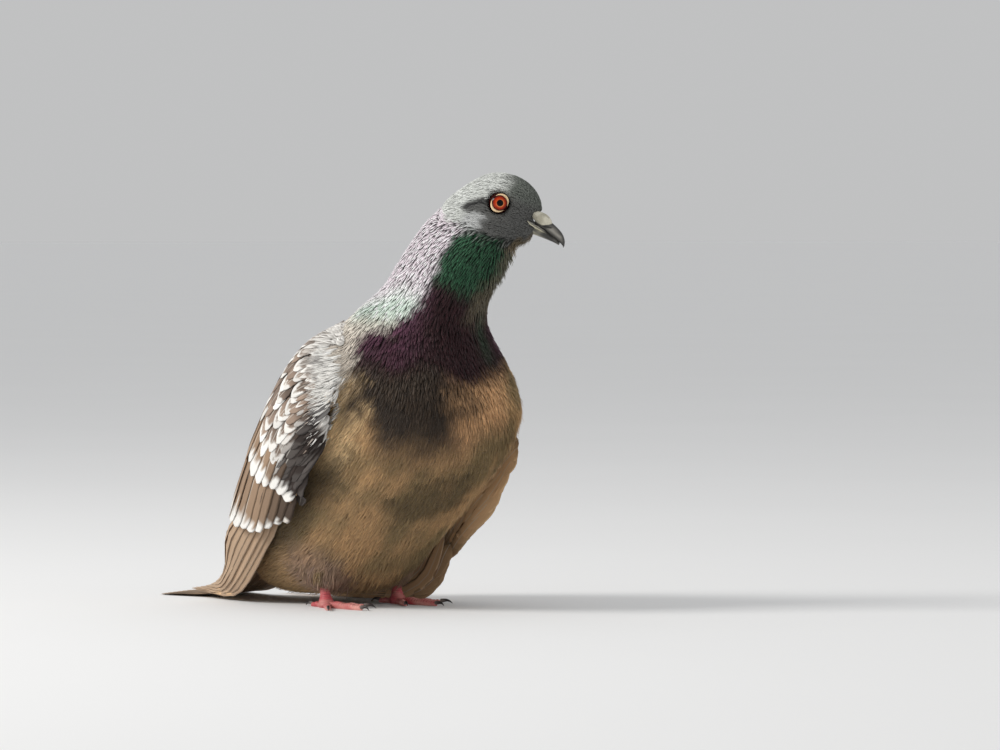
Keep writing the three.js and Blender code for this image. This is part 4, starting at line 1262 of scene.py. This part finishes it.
def side_wing(k, name, side, inner, tip):
    """All the feathers of one wing: (coverts, flight feathers)."""
    seed = 300 + side
    rng = np.random.default_rng(seed)
    low = name == "left"
    coverts, flight = [], []

    def add_coverts(chart, number, hand, root, at, across, across_tip, widths, **looks):
        part = wing_row(hand, side, root, at, across, across_tip, widths, seed=seed + number, ribs=SMALL_RIBS,
                        **looks)
        part["uvs"] = tuft_uvs(chart, part)
        coverts.append(part)

    def add_flight(number, hand, root, at, across, across_tip, width, ground, tips, band, rim=0.2,
                   rim_colour=DARK_BROWN, **looks):
        count = len(at)
        # Lower faces: on the drooped wing dark brown away from its lower edge, painted shade; on the folded
        # wing mostly tan.
        tan = 0.25 + 0.6 * step(0.6, 0.95, across) if low else 0.75 + 0.1 * across
        under = mixed(UNDER_DARK, UNDER_TAN, tan)
        paint = flight_paint(rng, count, ground, tips, band, under, rim, rim_colour)
        roots, widths = np.broadcast_to(root, count), np.full(count, width)
        flight.append(wing_row(hand, side, roots, at, across, across_tip, widths, paint=paint,
                               seed=seed + number, **looks))

    for row, tip_share in enumerate(COVERT_ROWS):
        grown = step(0.08, 0.6, tip_share)
        slender = 1 - 0.36 * step(0.34, 0.24, tip_share)
        width = (6.6 + 3.8 * grown) * slender
        line = wing_surface(inner, side, np.full(9, tip_share), np.linspace(0, 1, 9))
        many = max(5, int(np.linalg.norm(np.diff(line, axis=0), axis=1).sum() / (width * 0.66)))
        across = np.clip(staggered(many, row) + rng.normal(0, 0.014, many), 0, 1) * (0.87 if low else 1)
        if tip_share < 0.17:
            # Only the wing's back edge has feathers here: its bend has plumes.
            across = across[across < 0.30]
            many = len(across)
        at = tip_share + rng.normal(0, 0.012, many) - 0.05 * step(0.7, 1.0, across) * grown
        lengths = (13 + 9 * grown) * rng.uniform(0.92, 1.1, many)
        narrow = 1 - 0.25 * step(0.34, 0.2, at) * step(0.56, 0.42, across)
        root = np.maximum(at - lengths / length_along(inner, side, across), -0.02)
        across_tip = across + rng.normal(0, 0.012, many)
        widths = width * narrow * rng.uniform(0.9, 1.12, many)
        add_coverts(wing_chart(at, across, k), 10 * row, inner, root, at, across, across_tip, widths,
                    lifts=(0.1, 1.25), point=0.8 + 1.6 * (1 - slender), paint=covert_paint(rng, at, across),
                    steps=14, camber=0.07, slant=0.2, thickness=0.2)

    if low:
        # Smooth long coverts line the inner face of the drooped wing.
        many = 11
        for row, tip_share in enumerate(np.linspace(0.16, 0.86, 8)):
            across = np.clip(staggered(many, row), 0.03, 0.985) * 0.94
            at = tip_share + rng.normal(0, 0.006, many) - 0.04 * step(0.8, 1.0, across)
            root = at - LONG_COVERT / length_along(inner, side, across)
            colours = under_wing_colour(wing_surface(inner, side, at, across), at, across)
            # Their lower faces are a darker copy of the upper ones: painted shade.
            paint = flight_paint(rng, many, colours, colours, 0, colours * 0.8, rim=0.12)
            add_coverts(wing_chart(at, across, k), 250 + row, inner, root, at, across, across,
                        widths=np.full(many, 9.5), lifts=(0.0, 0.7), point=1.1, paint=paint, steps=8,
                        camber=0.06, slant=0.0, thickness=0.15, inner=True)
        # Long narrow feathers make the drooped wing's lower edge one smooth line.
        many = 8
        near, far = np.linspace(-0.02, 0.47, many), np.linspace(-0.16, 0.62, many)
        for hand, root, reach, across, dark, root_lift in (
            (inner, near, 0.36, 0.93 + 0.05 * step(0.0, 0.2, near), 0.5 * step(0.1, 0.5, near), 0.1),
            (tip, far, 0.38, np.full(many, 0.98), np.full(many, 0.5), -1.4),
        ):
            # Tan turning half dark brown along the wing: partly the under-wing's own brown, partly painted
            # shade; the lower faces are a darker copy, also painted shade.
            colours = mixed(UNDER_TAN, UNDER_DARK, dark)
            paint = flight_paint(rng, many, colours, colours, 0, colours * 0.85, rim=0.1)
            at = np.minimum(root + reach, 0.985)
            add_coverts(np.tile(EDGE_CHART, (many, 1)), 278, hand, root, at, across, across,
                        widths=np.full(many, 10.0), lifts=(root_lift, 0.7), point=1.2, paint=paint, steps=14,
                        camber=0.1, slant=0.0, thickness=0.2, inner=True)

    # Greater coverts, darker towards the lower edge: partly their own dark brown, partly painted shade
    many = 12
    last = 0.87 if low else 0.92
    across = np.linspace(0.04, last, many)
    at = 0.80 - 0.05 * step(0.15, 0.5, across) - 0.12 * step(0.5, 1.0, across) + rng.normal(0, 0.008, many)
    root = at - GREATER_COVERT / length_along(inner, side, across)
    band = np.where(rng.random(many) < 0.85, rng.uniform(0.15, 0.28, many), 0.0)
    add_flight(400, inner, root, at, across, across, width=12.0, lifts=(0.2, 1.3), point=0.6,
               ground=mixed(BROWN, DARK_BROWN, step(0.6, 0.85, across)), tips=WHITE, band=band, rim=0.1,
               camber=0.06, slant=0.2)
    # Secondaries, darker towards the lower edge: partly their own dark brown, partly painted shade
    many = 13
    across = np.linspace(0.04, last, many)
    at = 1.0 - (0.2 if low else 0.14) * step(0.6, 1.0, across) + rng.normal(0, 0.006, many)
    add_flight(500, inner, 0.48, at, across, across, width=13.2, lifts=(-0.3, 0.5), point=0.45,
               ground=mixed(BROWN, DARK_BROWN, 0.85 * step(0.6, 0.9, across)),
               tips=mixed(WHITE, SAND, step(0.85, 1.0, across) * 0.6),
               band=0.15 + 0.015 * rng.normal(size=many), rim=0.0, camber=0.04, slant=0.06, thickness=0.14)
    # Tertials
    across = np.array([0.0, 0.07, 0.17, 0.29])
    at = np.array([0.50, 0.43, 0.36, 0.28])
    add_flight(600, tip, -0.35, at, across, across * 0.8, width=14.0, lifts=(1.2, 0.9), point=1.5,
               ground=mixed(TAN, BROWN, np.array([0.1, 0.3, 0.4, 0.5])), tips=SAND, band=0.05, rim=0.4,
               rim_colour=SAND, camber=0.08)
    # Primaries, each nearer the lower edge than the one before, and a little further under
    order = np.linspace(0, 1, 10)
    at = 0.60 + 0.40 * order ** 0.8
    at[-1] = 0.975
    for row, later in enumerate(order):
        one = slice(row, row + 1)
        add_flight(700 + row, tip, -0.25, at[one], 0.12 + 0.78 * order[one], 0.22 + 0.74 * order[one],
                   width=11.5 - 2.5 * later, lifts=(0.9 - 1.3 * later, 0.7 - 1.1 * later), point=1.4,
                   ground=mixed(TAN, BROWN, 0.2 + 0.45 * later), tips=SAND, band=0.03, rim=0.7,
                   rim_colour=SAND, camber=0.05, slant=0.07, thickness=0.14)
    for part in coverts + flight:
        part["corners"][:, 2] = np.maximum(part["corners"][:, 2], FLOOR_GAP)
    return coverts, flight


def tail_feathers():
    """Twelve tail feathers, fanned a little and lying at the floor's level."""
    many = 12
    rng = np.random.default_rng(900)
    order = np.linspace(-1, 1, many)
    shares = np.concatenate([[0], 1 - (1 - np.linspace(0.05, 0.985, 16)) ** 1.2, [1]])
    y = TAIL_ROOT + (TAIL_END - 1.0 - TAIL_ROOT) * shares
    _, top, bottom, half_width = rows_at(TAIL, np.interp(y, TAIL[:, 0], np.linspace(0, 1, len(TAIL)))).T
    middle = np.maximum((top + bottom) / 2, 0.9)
    apart = (0.5 - np.abs(order))[:, None] * np.minimum((top - bottom) / 2, 0.8)[None]
    points = np.stack([
        order[:, None] * (half_width - 3.5)[None],
        TAIL_ROOT + (y - TAIL_ROOT)[None] * (1 - 0.02 * order[:, None] ** 2),
        middle[None] + apart,
    ], axis=2)
    normals = unit(np.tile(np.array([0.0, 0.25, 1.0]), (many, len(shares), 1)))
    half = 0.5 * 11.5 * np.tile(outline(shares, 0.9), (many, 1))
    flat = np.zeros((many, len(shares)))
    part = feathers(points, normals, half, flat, 0.05, shares, BROAD_RIBS, thickness=0.25)
    part["corners"][:, 2] = np.maximum(part["corners"][:, 2], 0.05)
    ground = mixed(TAN, BROWN, 0.45)
    # The lower faces are a darker copy of the ground: painted shade.
    paint = flight_paint(rng, many, ground, SAND, 0.04, ground * 0.8)
    dusky = step(0.70, 0.76, part["along"]) * step(0.95, 0.90, part["along"])
    part["colours"] = mixed(paint(part), DARK_BROWN, dusky * 0.5)
    part["vectors"] = vane_vectors(part, rng)
    part["uvs"] = strip_uvs(part, 0, many)
    return part


flight_parts = []
for k, (name, side, inner, tip) in enumerate(SIDES):
    coverts, flight = side_wing(k, name, side, inner, tip)
    joined_piece(f"wing_covert_feathers_{name}", coverts)
    flight_parts += flight
total = sum(part["count"] for part in flight_parts)
index = 0
for part in flight_parts:
    part["uvs"] = strip_uvs(part, index, total)
    index += part["count"]
flight_piece = joined_piece("flight_feathers", flight_parts)
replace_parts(flight_piece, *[
    f"wing_{kind}_{name}" for name, *_ in SIDES for kind in ("secondaries", "primaries")
])
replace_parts(joined_piece("tail_feathers", [tail_feathers()]), "tail")

from_bend, from_back = on_wing(skin_chart, skin_zone == WING_ZONE + 1)
under_wing = IN_WING & (wing_side < 0.3) & (from_bend < 0.85 * COVERTS_END)
coat_piece("under_wing_coat", under_wing, spacing=2.4, seed=104, length=10.0, width=4.4, height=0.5,
           material=CONTOUR, point=1.2, camber=0.15, shade=0.2, spread=0.06,
           tone_depth=0.06, stray=0)
drooped_edge = (skin_zone == WING_ZONE) & (from_back > 0.7)
wing_bend = IN_WING & (wing_side > 0.05) & (from_bend < 0.15) & (from_back > 0.22) & ~drooped_edge
coat_piece("wing_edge_plumes", wing_bend, spacing=0.85, seed=105, length=8.0, width=1.05, height=1.7,
           material=FINE, point=2.4, shares=(0.25, 0.5, 0.8), camber=0.4, shade=0.15,
           spread=0.14, stray=0.2, tone_depth=0.07)

# ------------------------------------------------------------------ eyes, bill and cere


def eye_place(points, side):
    """From round an eye's own axis (+Z looks out) to the bird."""
    mirror = np.array([1, side, 1])
    look = unit(EYE_OUTWARD * mirror)
    right = unit(np.cross([0, 0, 1.0], look))
    axes = np.array([right, np.cross(look, right), look])
    return from_head(points @ axes + EYE_PLACE * mirror)


RING_LEAN = 1.25  # where the eye ring is widest, round the eye's axis, in radians
RING_TURNS, RIM_TURNS = 96, 16  # points round the ring, and round its rim
IRIS_RED = linear([0.50, 0.11, 0.04])
IRIS_ORANGE = linear([0.70, 0.21, 0.06])
IRIS_PALE = linear([0.86, 0.52, 0.31])
PUPIL = linear([0.02, 0.015, 0.015])
LIMBUS = linear([0.16, 0.04, 0.03])
CREAM = linear([0.95, 0.83, 0.66])
RING_SHADE = linear([0.80, 0.62, 0.42])


def eye_material():
    material, tree, shader = new_material("eye", Roughness=0.4, Specular_IOR_Level=0.0, Coat_Weight=0.3,
                                          Coat_Roughness=0.04)
    _, grey = mottled(tree, attribute(tree, "vane", "Vector"), 1.0, 3.0, 0.35)
    coat = attribute(tree, "coat", "Color")
    tree.links.new(mix_colour(tree, "MULTIPLY", 1.0, coat, grey), shader.inputs["Base Color"])
    return material


EYE = eye_material()
for name, side, *_ in SIDES:
    polar = np.concatenate([np.linspace(0.004, 0.95, 46), np.linspace(1.0, 2.2, 12)])
    points, faces = lathe(EYE_RADIUS * np.stack([np.sin(polar), np.cos(polar)], 1), 72)
    radius = np.linalg.norm(points[:, :2], axis=1)
    turn = np.arctan2(points[:, 1], points[:, 0])
    colour = painted(
        np.tile(IRIS_RED, (len(points), 1)),
        (IRIS_ORANGE, step(3.2, 2.4, radius)),
        (IRIS_PALE, step(2.25, 2.05, radius) * (0.55 + 0.4 * np.cos(turn + 0.4))),
        (PUPIL, step(1.72, 1.6, radius)),
        (LIMBUS, step(3.3, 3.62, radius)),
    )
    vectors = np.stack([6 * np.cos(turn), 6 * np.sin(turn), radius * 0.8], 1)
    closed_piece(f"eyeball_{name}", eye_place(points, side), faces, EYE, colour, "iris", f"eye_{name}",
                 vectors=vectors)
    turns, rim_turns = (np.linspace(0, 2 * math.pi, n, endpoint=False) for n in (RING_TURNS, RIM_TURNS))
    around, across = np.meshgrid(turns, rim_turns, indexing="ij")
    crinkle = 1 + 0.10 * np.sin(17 * around) * np.sin(3 * across) + 0.06 * np.sin(31 * around + 2)
    breadth = 0.44 * crinkle * (1 + 0.65 * np.cos(2 * (around - RING_LEAN)))
    radius = 4.08 + 0.2 * np.cos(2 * (around - RING_LEAN)) + breadth * np.cos(across)
    height = RING_LIFT + 0.35 + 0.9 * breadth * np.sin(across)
    points = np.stack([radius * np.cos(around), radius * np.sin(around), height], -1).reshape(-1, 3)
    a = np.arange(len(points)).reshape(RING_TURNS, RIM_TURNS)
    b, d = np.roll(a, -1, axis=1), np.roll(a, -1, axis=0)
    c = np.roll(d, -1, axis=1)
    faces = np.stack([a, d, c, a, c, b], -1).reshape(-1, 3)
    tone = step(RING_RADIUS - 0.9, RING_RADIUS + 0.2, np.linalg.norm(points[:, :2], axis=1))
    closed_piece(f"eyelid_ring_{name}", eye_place(points, side), faces, BARE, mixed(RING_SHADE, CREAM, tone),
                 "eye_ring_skin", f"eye_ring_{name}")

BILL_DARK = linear([0.25, 0.245, 0.235])
BILL_PALE = linear([0.60, 0.585, 0.55])
GAPE = linear([0.78, 0.76, 0.67])
CERE_GREY = linear([0.72, 0.70, 0.63])
CERE_PALE = linear([0.86, 0.84, 0.77])
CERE_SHADE = linear([0.50, 0.48, 0.43])


def bill_piece(name, table, upper, replaced):
    points, faces, share, _ = closed_loft(lambda s, a: head_loft(table, s, a), 90, 48)
    forward, left, up = points.T.copy()
    streak = patchy(points * np.array([0.35, 1, 1]), 1.6, 61)
    cloudy = np.clip(0.3 + 0.5 * streak, 0, 1)
    if upper:
        top, bottom = rows_at(table, share)[:, 1:3].T
        slit = hump(up, 0.2 + 0.25 * (forward - 24.3), 0.4) * step(23.5, 24.5, forward)
        slit = slit * step(30.2, 29, forward) * step(0.8, 1.6, np.abs(left))
        points[:, 1] -= np.sign(left) * 0.6 * slit
        glint = hump((up - bottom) / (top - bottom), 0.5, 0.24)
        glint = glint * step(26, 30, forward) * step(38.5, 35, forward)
        coats = [
            (BILL_PALE, np.clip(glint * (0.75 + 0.4 * streak), 0, 1)),
            (BILL_PALE, cloudy * step(27, 23, forward) * 0.7),
            (BILL_DARK * 0.25, slit),
        ]
    else:
        gape = step(27.5, 24, forward) * np.clip(0.3 + 0.3 * streak, 0, 1)
        coats = [(BILL_PALE, cloudy * 0.45), (GAPE, gape)]
    closed_piece(name, from_head(points), faces, HORN, painted(BILL_DARK, *coats), "bill_horn", replaced)


bill_piece("bill_upper", UPPER_BILL, True, "upper_bill")
bill_piece("bill_lower", LOWER_BILL, False, "lower_bill")

# The lips of the gape run back from the bill over the face: [forward, aside, up]
GAPE_LINE = np.array([
    [17.2, 7.2, -0.3],
    [19, 6.2, -0.9],
    [21, 4.9, -1.2],
    [23, 3.9, -1.4],
    [25, 3.3, -1.6],
    [27, 2.8, -1.9],
    [29, 2.2, -2.2],
])


def lip_surface(side, drop):
    """One lip of the gape, as a flat tapering tube, in the bird's frame."""
    def surface(share, angle):
        middle = rows_at(GAPE_LINE, share) * np.array([1, side, 1])
        size = 0.2 + 0.8 * np.sin(math.pi * np.clip(share, 0, 1)) ** 0.6
        size = size * (1 + 0.12 * np.sin(23 * share + 5 * drop))
        middle[:, 2] += drop * size
        middle[:, 1] += side * (0.75 * size * np.sin(angle) - 0.25)
        middle[:, 2] += 0.42 * size * np.cos(angle)
        return from_head(middle)
    return surface


def together(shapes):
    """Several closed shapes as one: their points, and their faces turned outward."""
    starts = np.cumsum([0] + [len(points) for points, _ in shapes])
    faces = [outward_faces(*shape) + start for shape, start in zip(shapes, starts)]
    return np.vstack([points for points, _ in shapes]), np.vstack(faces)


lips, lip_colours = [], []
for side in (1, -1):
    for drop, shade in ((0.42, BILL_PALE * 0.75), (-0.42, GAPE)):
        points, faces, share, _ = closed_loft(lip_surface(side, drop), 60, 16)
        lips.append((points, faces))
        lip_colours.append(mixed(shade, BILL_DARK, step(0.62, 1.0, share)))
closed_piece("gape_lips", *together(lips), BARE, np.vstack(lip_colours), "bill_horn")


def turned(points, i, j, angle):
    """Points turned from axis j towards axis i."""
    c, s = math.cos(angle), math.sin(angle)
    points = points.copy()
    points[:, i], points[:, j] = c * points[:, i] + s * points[:, j], c * points[:, j] - s * points[:, i]
    return points


lobes = []
for side in (1, -1):
    polar = np.linspace(0.02, math.pi - 0.02, 40)
    points, faces = lathe(np.stack([np.sin(polar), np.cos(polar)], 1), 56)
    points = points[:, [2, 1, 0]] * np.array([1, 1, -1])
    bulge = 1 + 0.035 * patchy(points * 4, 3.2, 71 + side) + 0.012 * patchy(points * 4, 1.2, 77)
    bulge = bulge - 0.12 * step(0.2, 1.0, points[:, 0])
    points = points * bulge[:, None] * CERE_SIZE * np.array([1.0, 1.06, 1.06])
    points = turned(turned(points, 0, 2, CERE_SLOPE), 0, 1, side * CERE_SPLAY)
    lobes.append((from_head(points + CERE_PLACE * np.array([1, side, 1])), faces))
points, faces = together(lobes)
colour = painted(
    CERE_GREY,
    (CERE_PALE, step(-1.2, 0.9, patchy(points, 2.6, 81))),
    (CERE_SHADE, step(0.7, 1.4, patchy(points, 1.3, 82)) * 0.6),
)
closed_piece("cere_lobes", points, faces, POWDER, colour, "cere_skin", "cere")

# ------------------------------------------------------------------ feet

RED, PINK, SCALE_EDGE = linear([0.74, 0.33, 0.35]), linear([0.85, 0.60, 0.56]), linear([0.50, 0.20, 0.22])
CLAW_DARK, CLAW_PALE = linear([0.16, 0.14, 0.14]), linear([0.42, 0.38, 0.36])
TOE_SCALE = 1.75  # length of a scale of the toes, in mm


def scuted(phase):
    """Height of a scale's overlap at a phase along a toe: it rises slowly and drops at the next scale."""
    return phase % 1.0


for name, side, *_ in SIDES:
    centre = np.array([side * FOOT_X, 0.0, 0.0])
    points, faces, share, angle = closed_loft(lambda s, a: limb_surface(SHANK, side, s, a), 110, 48)
    front = step(-0.2, 0.5, -np.cos(angle))
    ridge = scuted(share * 13 + 0.12 * np.cos(angle))
    reticule = np.sin(share * 130) * np.sin(angle * 11)
    grow = front * 0.28 * ridge + (1 - front) * 0.10 * reticule
    outward = unit((points - np.array([side * FOOT_X, 1, 0])) * np.array([1, 1, 0]))
    points = points + outward * (grow * (points[:, 2] > 0.4))[:, None]
    edges = np.clip(front * step(0.86, 0.97, ridge) + 0.4 * (1 - front) * step(0.2, -0.4, reticule), 0, 1)
    colour = painted(RED, (PINK, step(-0.8, 1.2, patchy(points, 4, 91)) * 0.6), (SCALE_EDGE, edges))
    closed_piece(f"shank_{name}", points, faces, SCALES, colour, "foot_skin", f"foot_{name}")
    for label, turn, length, radius in TOES:
        turn = math.radians(turn)
        forward = np.array([side * math.sin(turn), -math.cos(turn), 0])
        sideways = np.array([-forward[1], forward[0], 0])

        def toe_surface(share, angle):
            swell = 1 + 0.09 * np.cos(2 * math.pi * 3 * share)
            end = np.sqrt(np.maximum(1 - np.maximum((share - 0.9) / 0.1, 0) ** 2, 0.12))
            size = radius * swell * end * (1 - 0.34 * share)
            upper = step(0.0, 0.6, np.cos(angle))
            grain = 0.05 * np.sin(share * length * 5) * np.sin(angle * 9)
            size = size * (0.95 + upper * 0.09 * scuted(share * length / TOE_SCALE) + (1 - upper) * grain)
            place = centre + forward * (length * share)[:, None] + sideways * (size * np.sin(angle))[:, None]
            place[:, 2] = np.maximum(0.72 * size + size * np.cos(angle), 0)
            return place

        points, faces, share, angle = closed_loft(toe_surface, int(length * 4.5), 30)
        edges = step(0.0, 0.6, np.cos(angle)) * step(0.84, 0.97, scuted(share * length / TOE_SCALE))
        colour = painted(
            RED,
            (PINK, np.clip(0.35 + 0.5 * share + 0.4 * patchy(points, 5, 93), 0, 1)),
            (SCALE_EDGE, edges * 0.8),
        )
        closed_piece(f"digit_{label}_{name}", points, faces, SCALES, colour, "foot_skin",
                     f"toe_{label}_{name}")

        def claw_surface(share, angle):
            bend = share * math.radians(62)
            size = 1.15 * (1 - 0.9 * share ** 1.2)
            reach = length - 0.6 + 7.0 * np.sin(bend)
            along = size * np.cos(angle)
            place = centre + forward * (reach + along * np.sin(bend))[:, None]
            place = place + sideways * (0.78 * size * np.sin(angle))[:, None]
            place[:, 2] = 1.5 + 0.9 * np.sin(math.pi * share) - 1.15 * share + along * np.cos(bend)
            return place

        points, faces, share, _ = closed_loft(claw_surface, 28, 20)
        colour = mixed(CLAW_PALE, CLAW_DARK, step(0.0, 0.5, share))
        closed_piece(f"nail_{label}_{name}", points, faces, CLAW, colour, "claw_horn",
                     f"claw_{label}_{name}")

# ------------------------------------------------------------------ floor, light and camera


def stage_material():
    material, tree, shader = new_material("studio_floor", Roughness=0.9, Specular_IOR_Level=0.1)
    place = node(tree, "ShaderNodeTexCoord", {}).outputs["Object"]
    noise = node(tree, "ShaderNodeTexNoise", {"Vector": place, "Scale": 3.0, "Detail": 4.0}).outputs["Fac"]
    grey = grey_from(tree, maths(tree, "MULTIPLY_ADD", noise, 0.02, 0.84))
    tree.links.new(grey, shader.inputs["Base Color"])
    return material


SPAN = 60.0  # metres from the middle of the floor to its sides
floor_mesh = bpy.data.meshes.new("floor")
corners = [(-SPAN, -SPAN, 0), (SPAN, -SPAN, 0), (SPAN, SPAN, 0), (-SPAN, SPAN, 0)]
floor_mesh.from_pydata(corners, [], [(0, 1, 2, 3)])
floor_mesh.materials.append(stage_material())
floor = bpy.data.objects.new("floor", floor_mesh)
bpy.context.scene.collection.objects.link(floor)

VIEW_AZIMUTH, VIEW_ELEVATION, VIEW_DISTANCE = math.radians(-42), math.radians(1.5), 2.85
TARGET = Vector(np.array([52.3, -47.1, 117.8]) / 1000 + ORIGIN)
back = Vector((
    math.sin(VIEW_AZIMUTH) * math.cos(VIEW_ELEVATION),
    -math.cos(VIEW_AZIMUTH) * math.cos(VIEW_ELEVATION),
    math.sin(VIEW_ELEVATION),
))
camera_data = bpy.data.cameras.new("camera")
camera_data.lens, camera_data.sensor_width = 201.0, 36.0
camera = bpy.data.objects.new("camera", camera_data)
camera.location = TARGET + back * VIEW_DISTANCE
camera.rotation_mode = "QUATERNION"
camera.rotation_quaternion = (-back).to_track_quat("-Z", "Y")
bpy.context.scene.collection.objects.link(camera)
bpy.context.scene.camera = camera

RIGHT = Vector((math.cos(VIEW_AZIMUTH), math.sin(VIEW_AZIMUTH), 0))
LEVEL_BACK = Vector((back.x, back.y, 0)).normalized()
LIT_PLACE = Vector((0, 0, 0.12))  # the middle of the bird, which the lamps face


def area_light(name, right, up, toward, size, power, colour):
    """A square lamp placed from the bird: to the camera's right, up, and toward the camera, in metres."""
    data = bpy.data.lights.new(name, "AREA")
    data.size, data.energy, data.color = size, power, colour
    lamp = bpy.data.objects.new(name, data)
    lamp.location = LIT_PLACE + RIGHT * right + LEVEL_BACK * toward + Vector((0, 0, up))
    lamp.rotation_mode = "QUATERNION"
    lamp.rotation_quaternion = (lamp.location - LIT_PLACE).to_track_quat("Z", "Y")
    bpy.context.scene.collection.objects.link(lamp)


area_light("key", -1.75, 1.25, 0.5, 0.8, 32, (1, 0.985, 0.955))
area_light("fill", 1.4, 0.7, 1.5, 1.6, 2, (1, 0.985, 0.96))

world = bpy.data.worlds.new("studio")
bpy.context.scene.world = world
world.use_nodes = True
tree = world.node_tree
background = tree.nodes["Background"]
# The sky lights the bird with one grey, and is seen as another.
SKY_LIGHT, SKY_SEEN = (0.62, 0.625, 0.63, 1), (0.531, 0.534, 0.537, 1)
rays = node(tree, "ShaderNodeLightPath", {}).outputs
seen = maths(tree, "ADD", rays["Is Camera Ray"], rays["Is Glossy Ray"])
seen = maths(tree, "ADD", seen, rays["Is Transmission Ray"], clamp=True)
tree.links.new(mix_colour(tree, "MIX", seen, SKY_LIGHT, SKY_SEEN), background.inputs["Color"])
background.inputs["Strength"].default_value = 1.0

scene = bpy.context.scene
scene.view_settings.view_transform = "Standard"

bpy.context.view_layer.update()
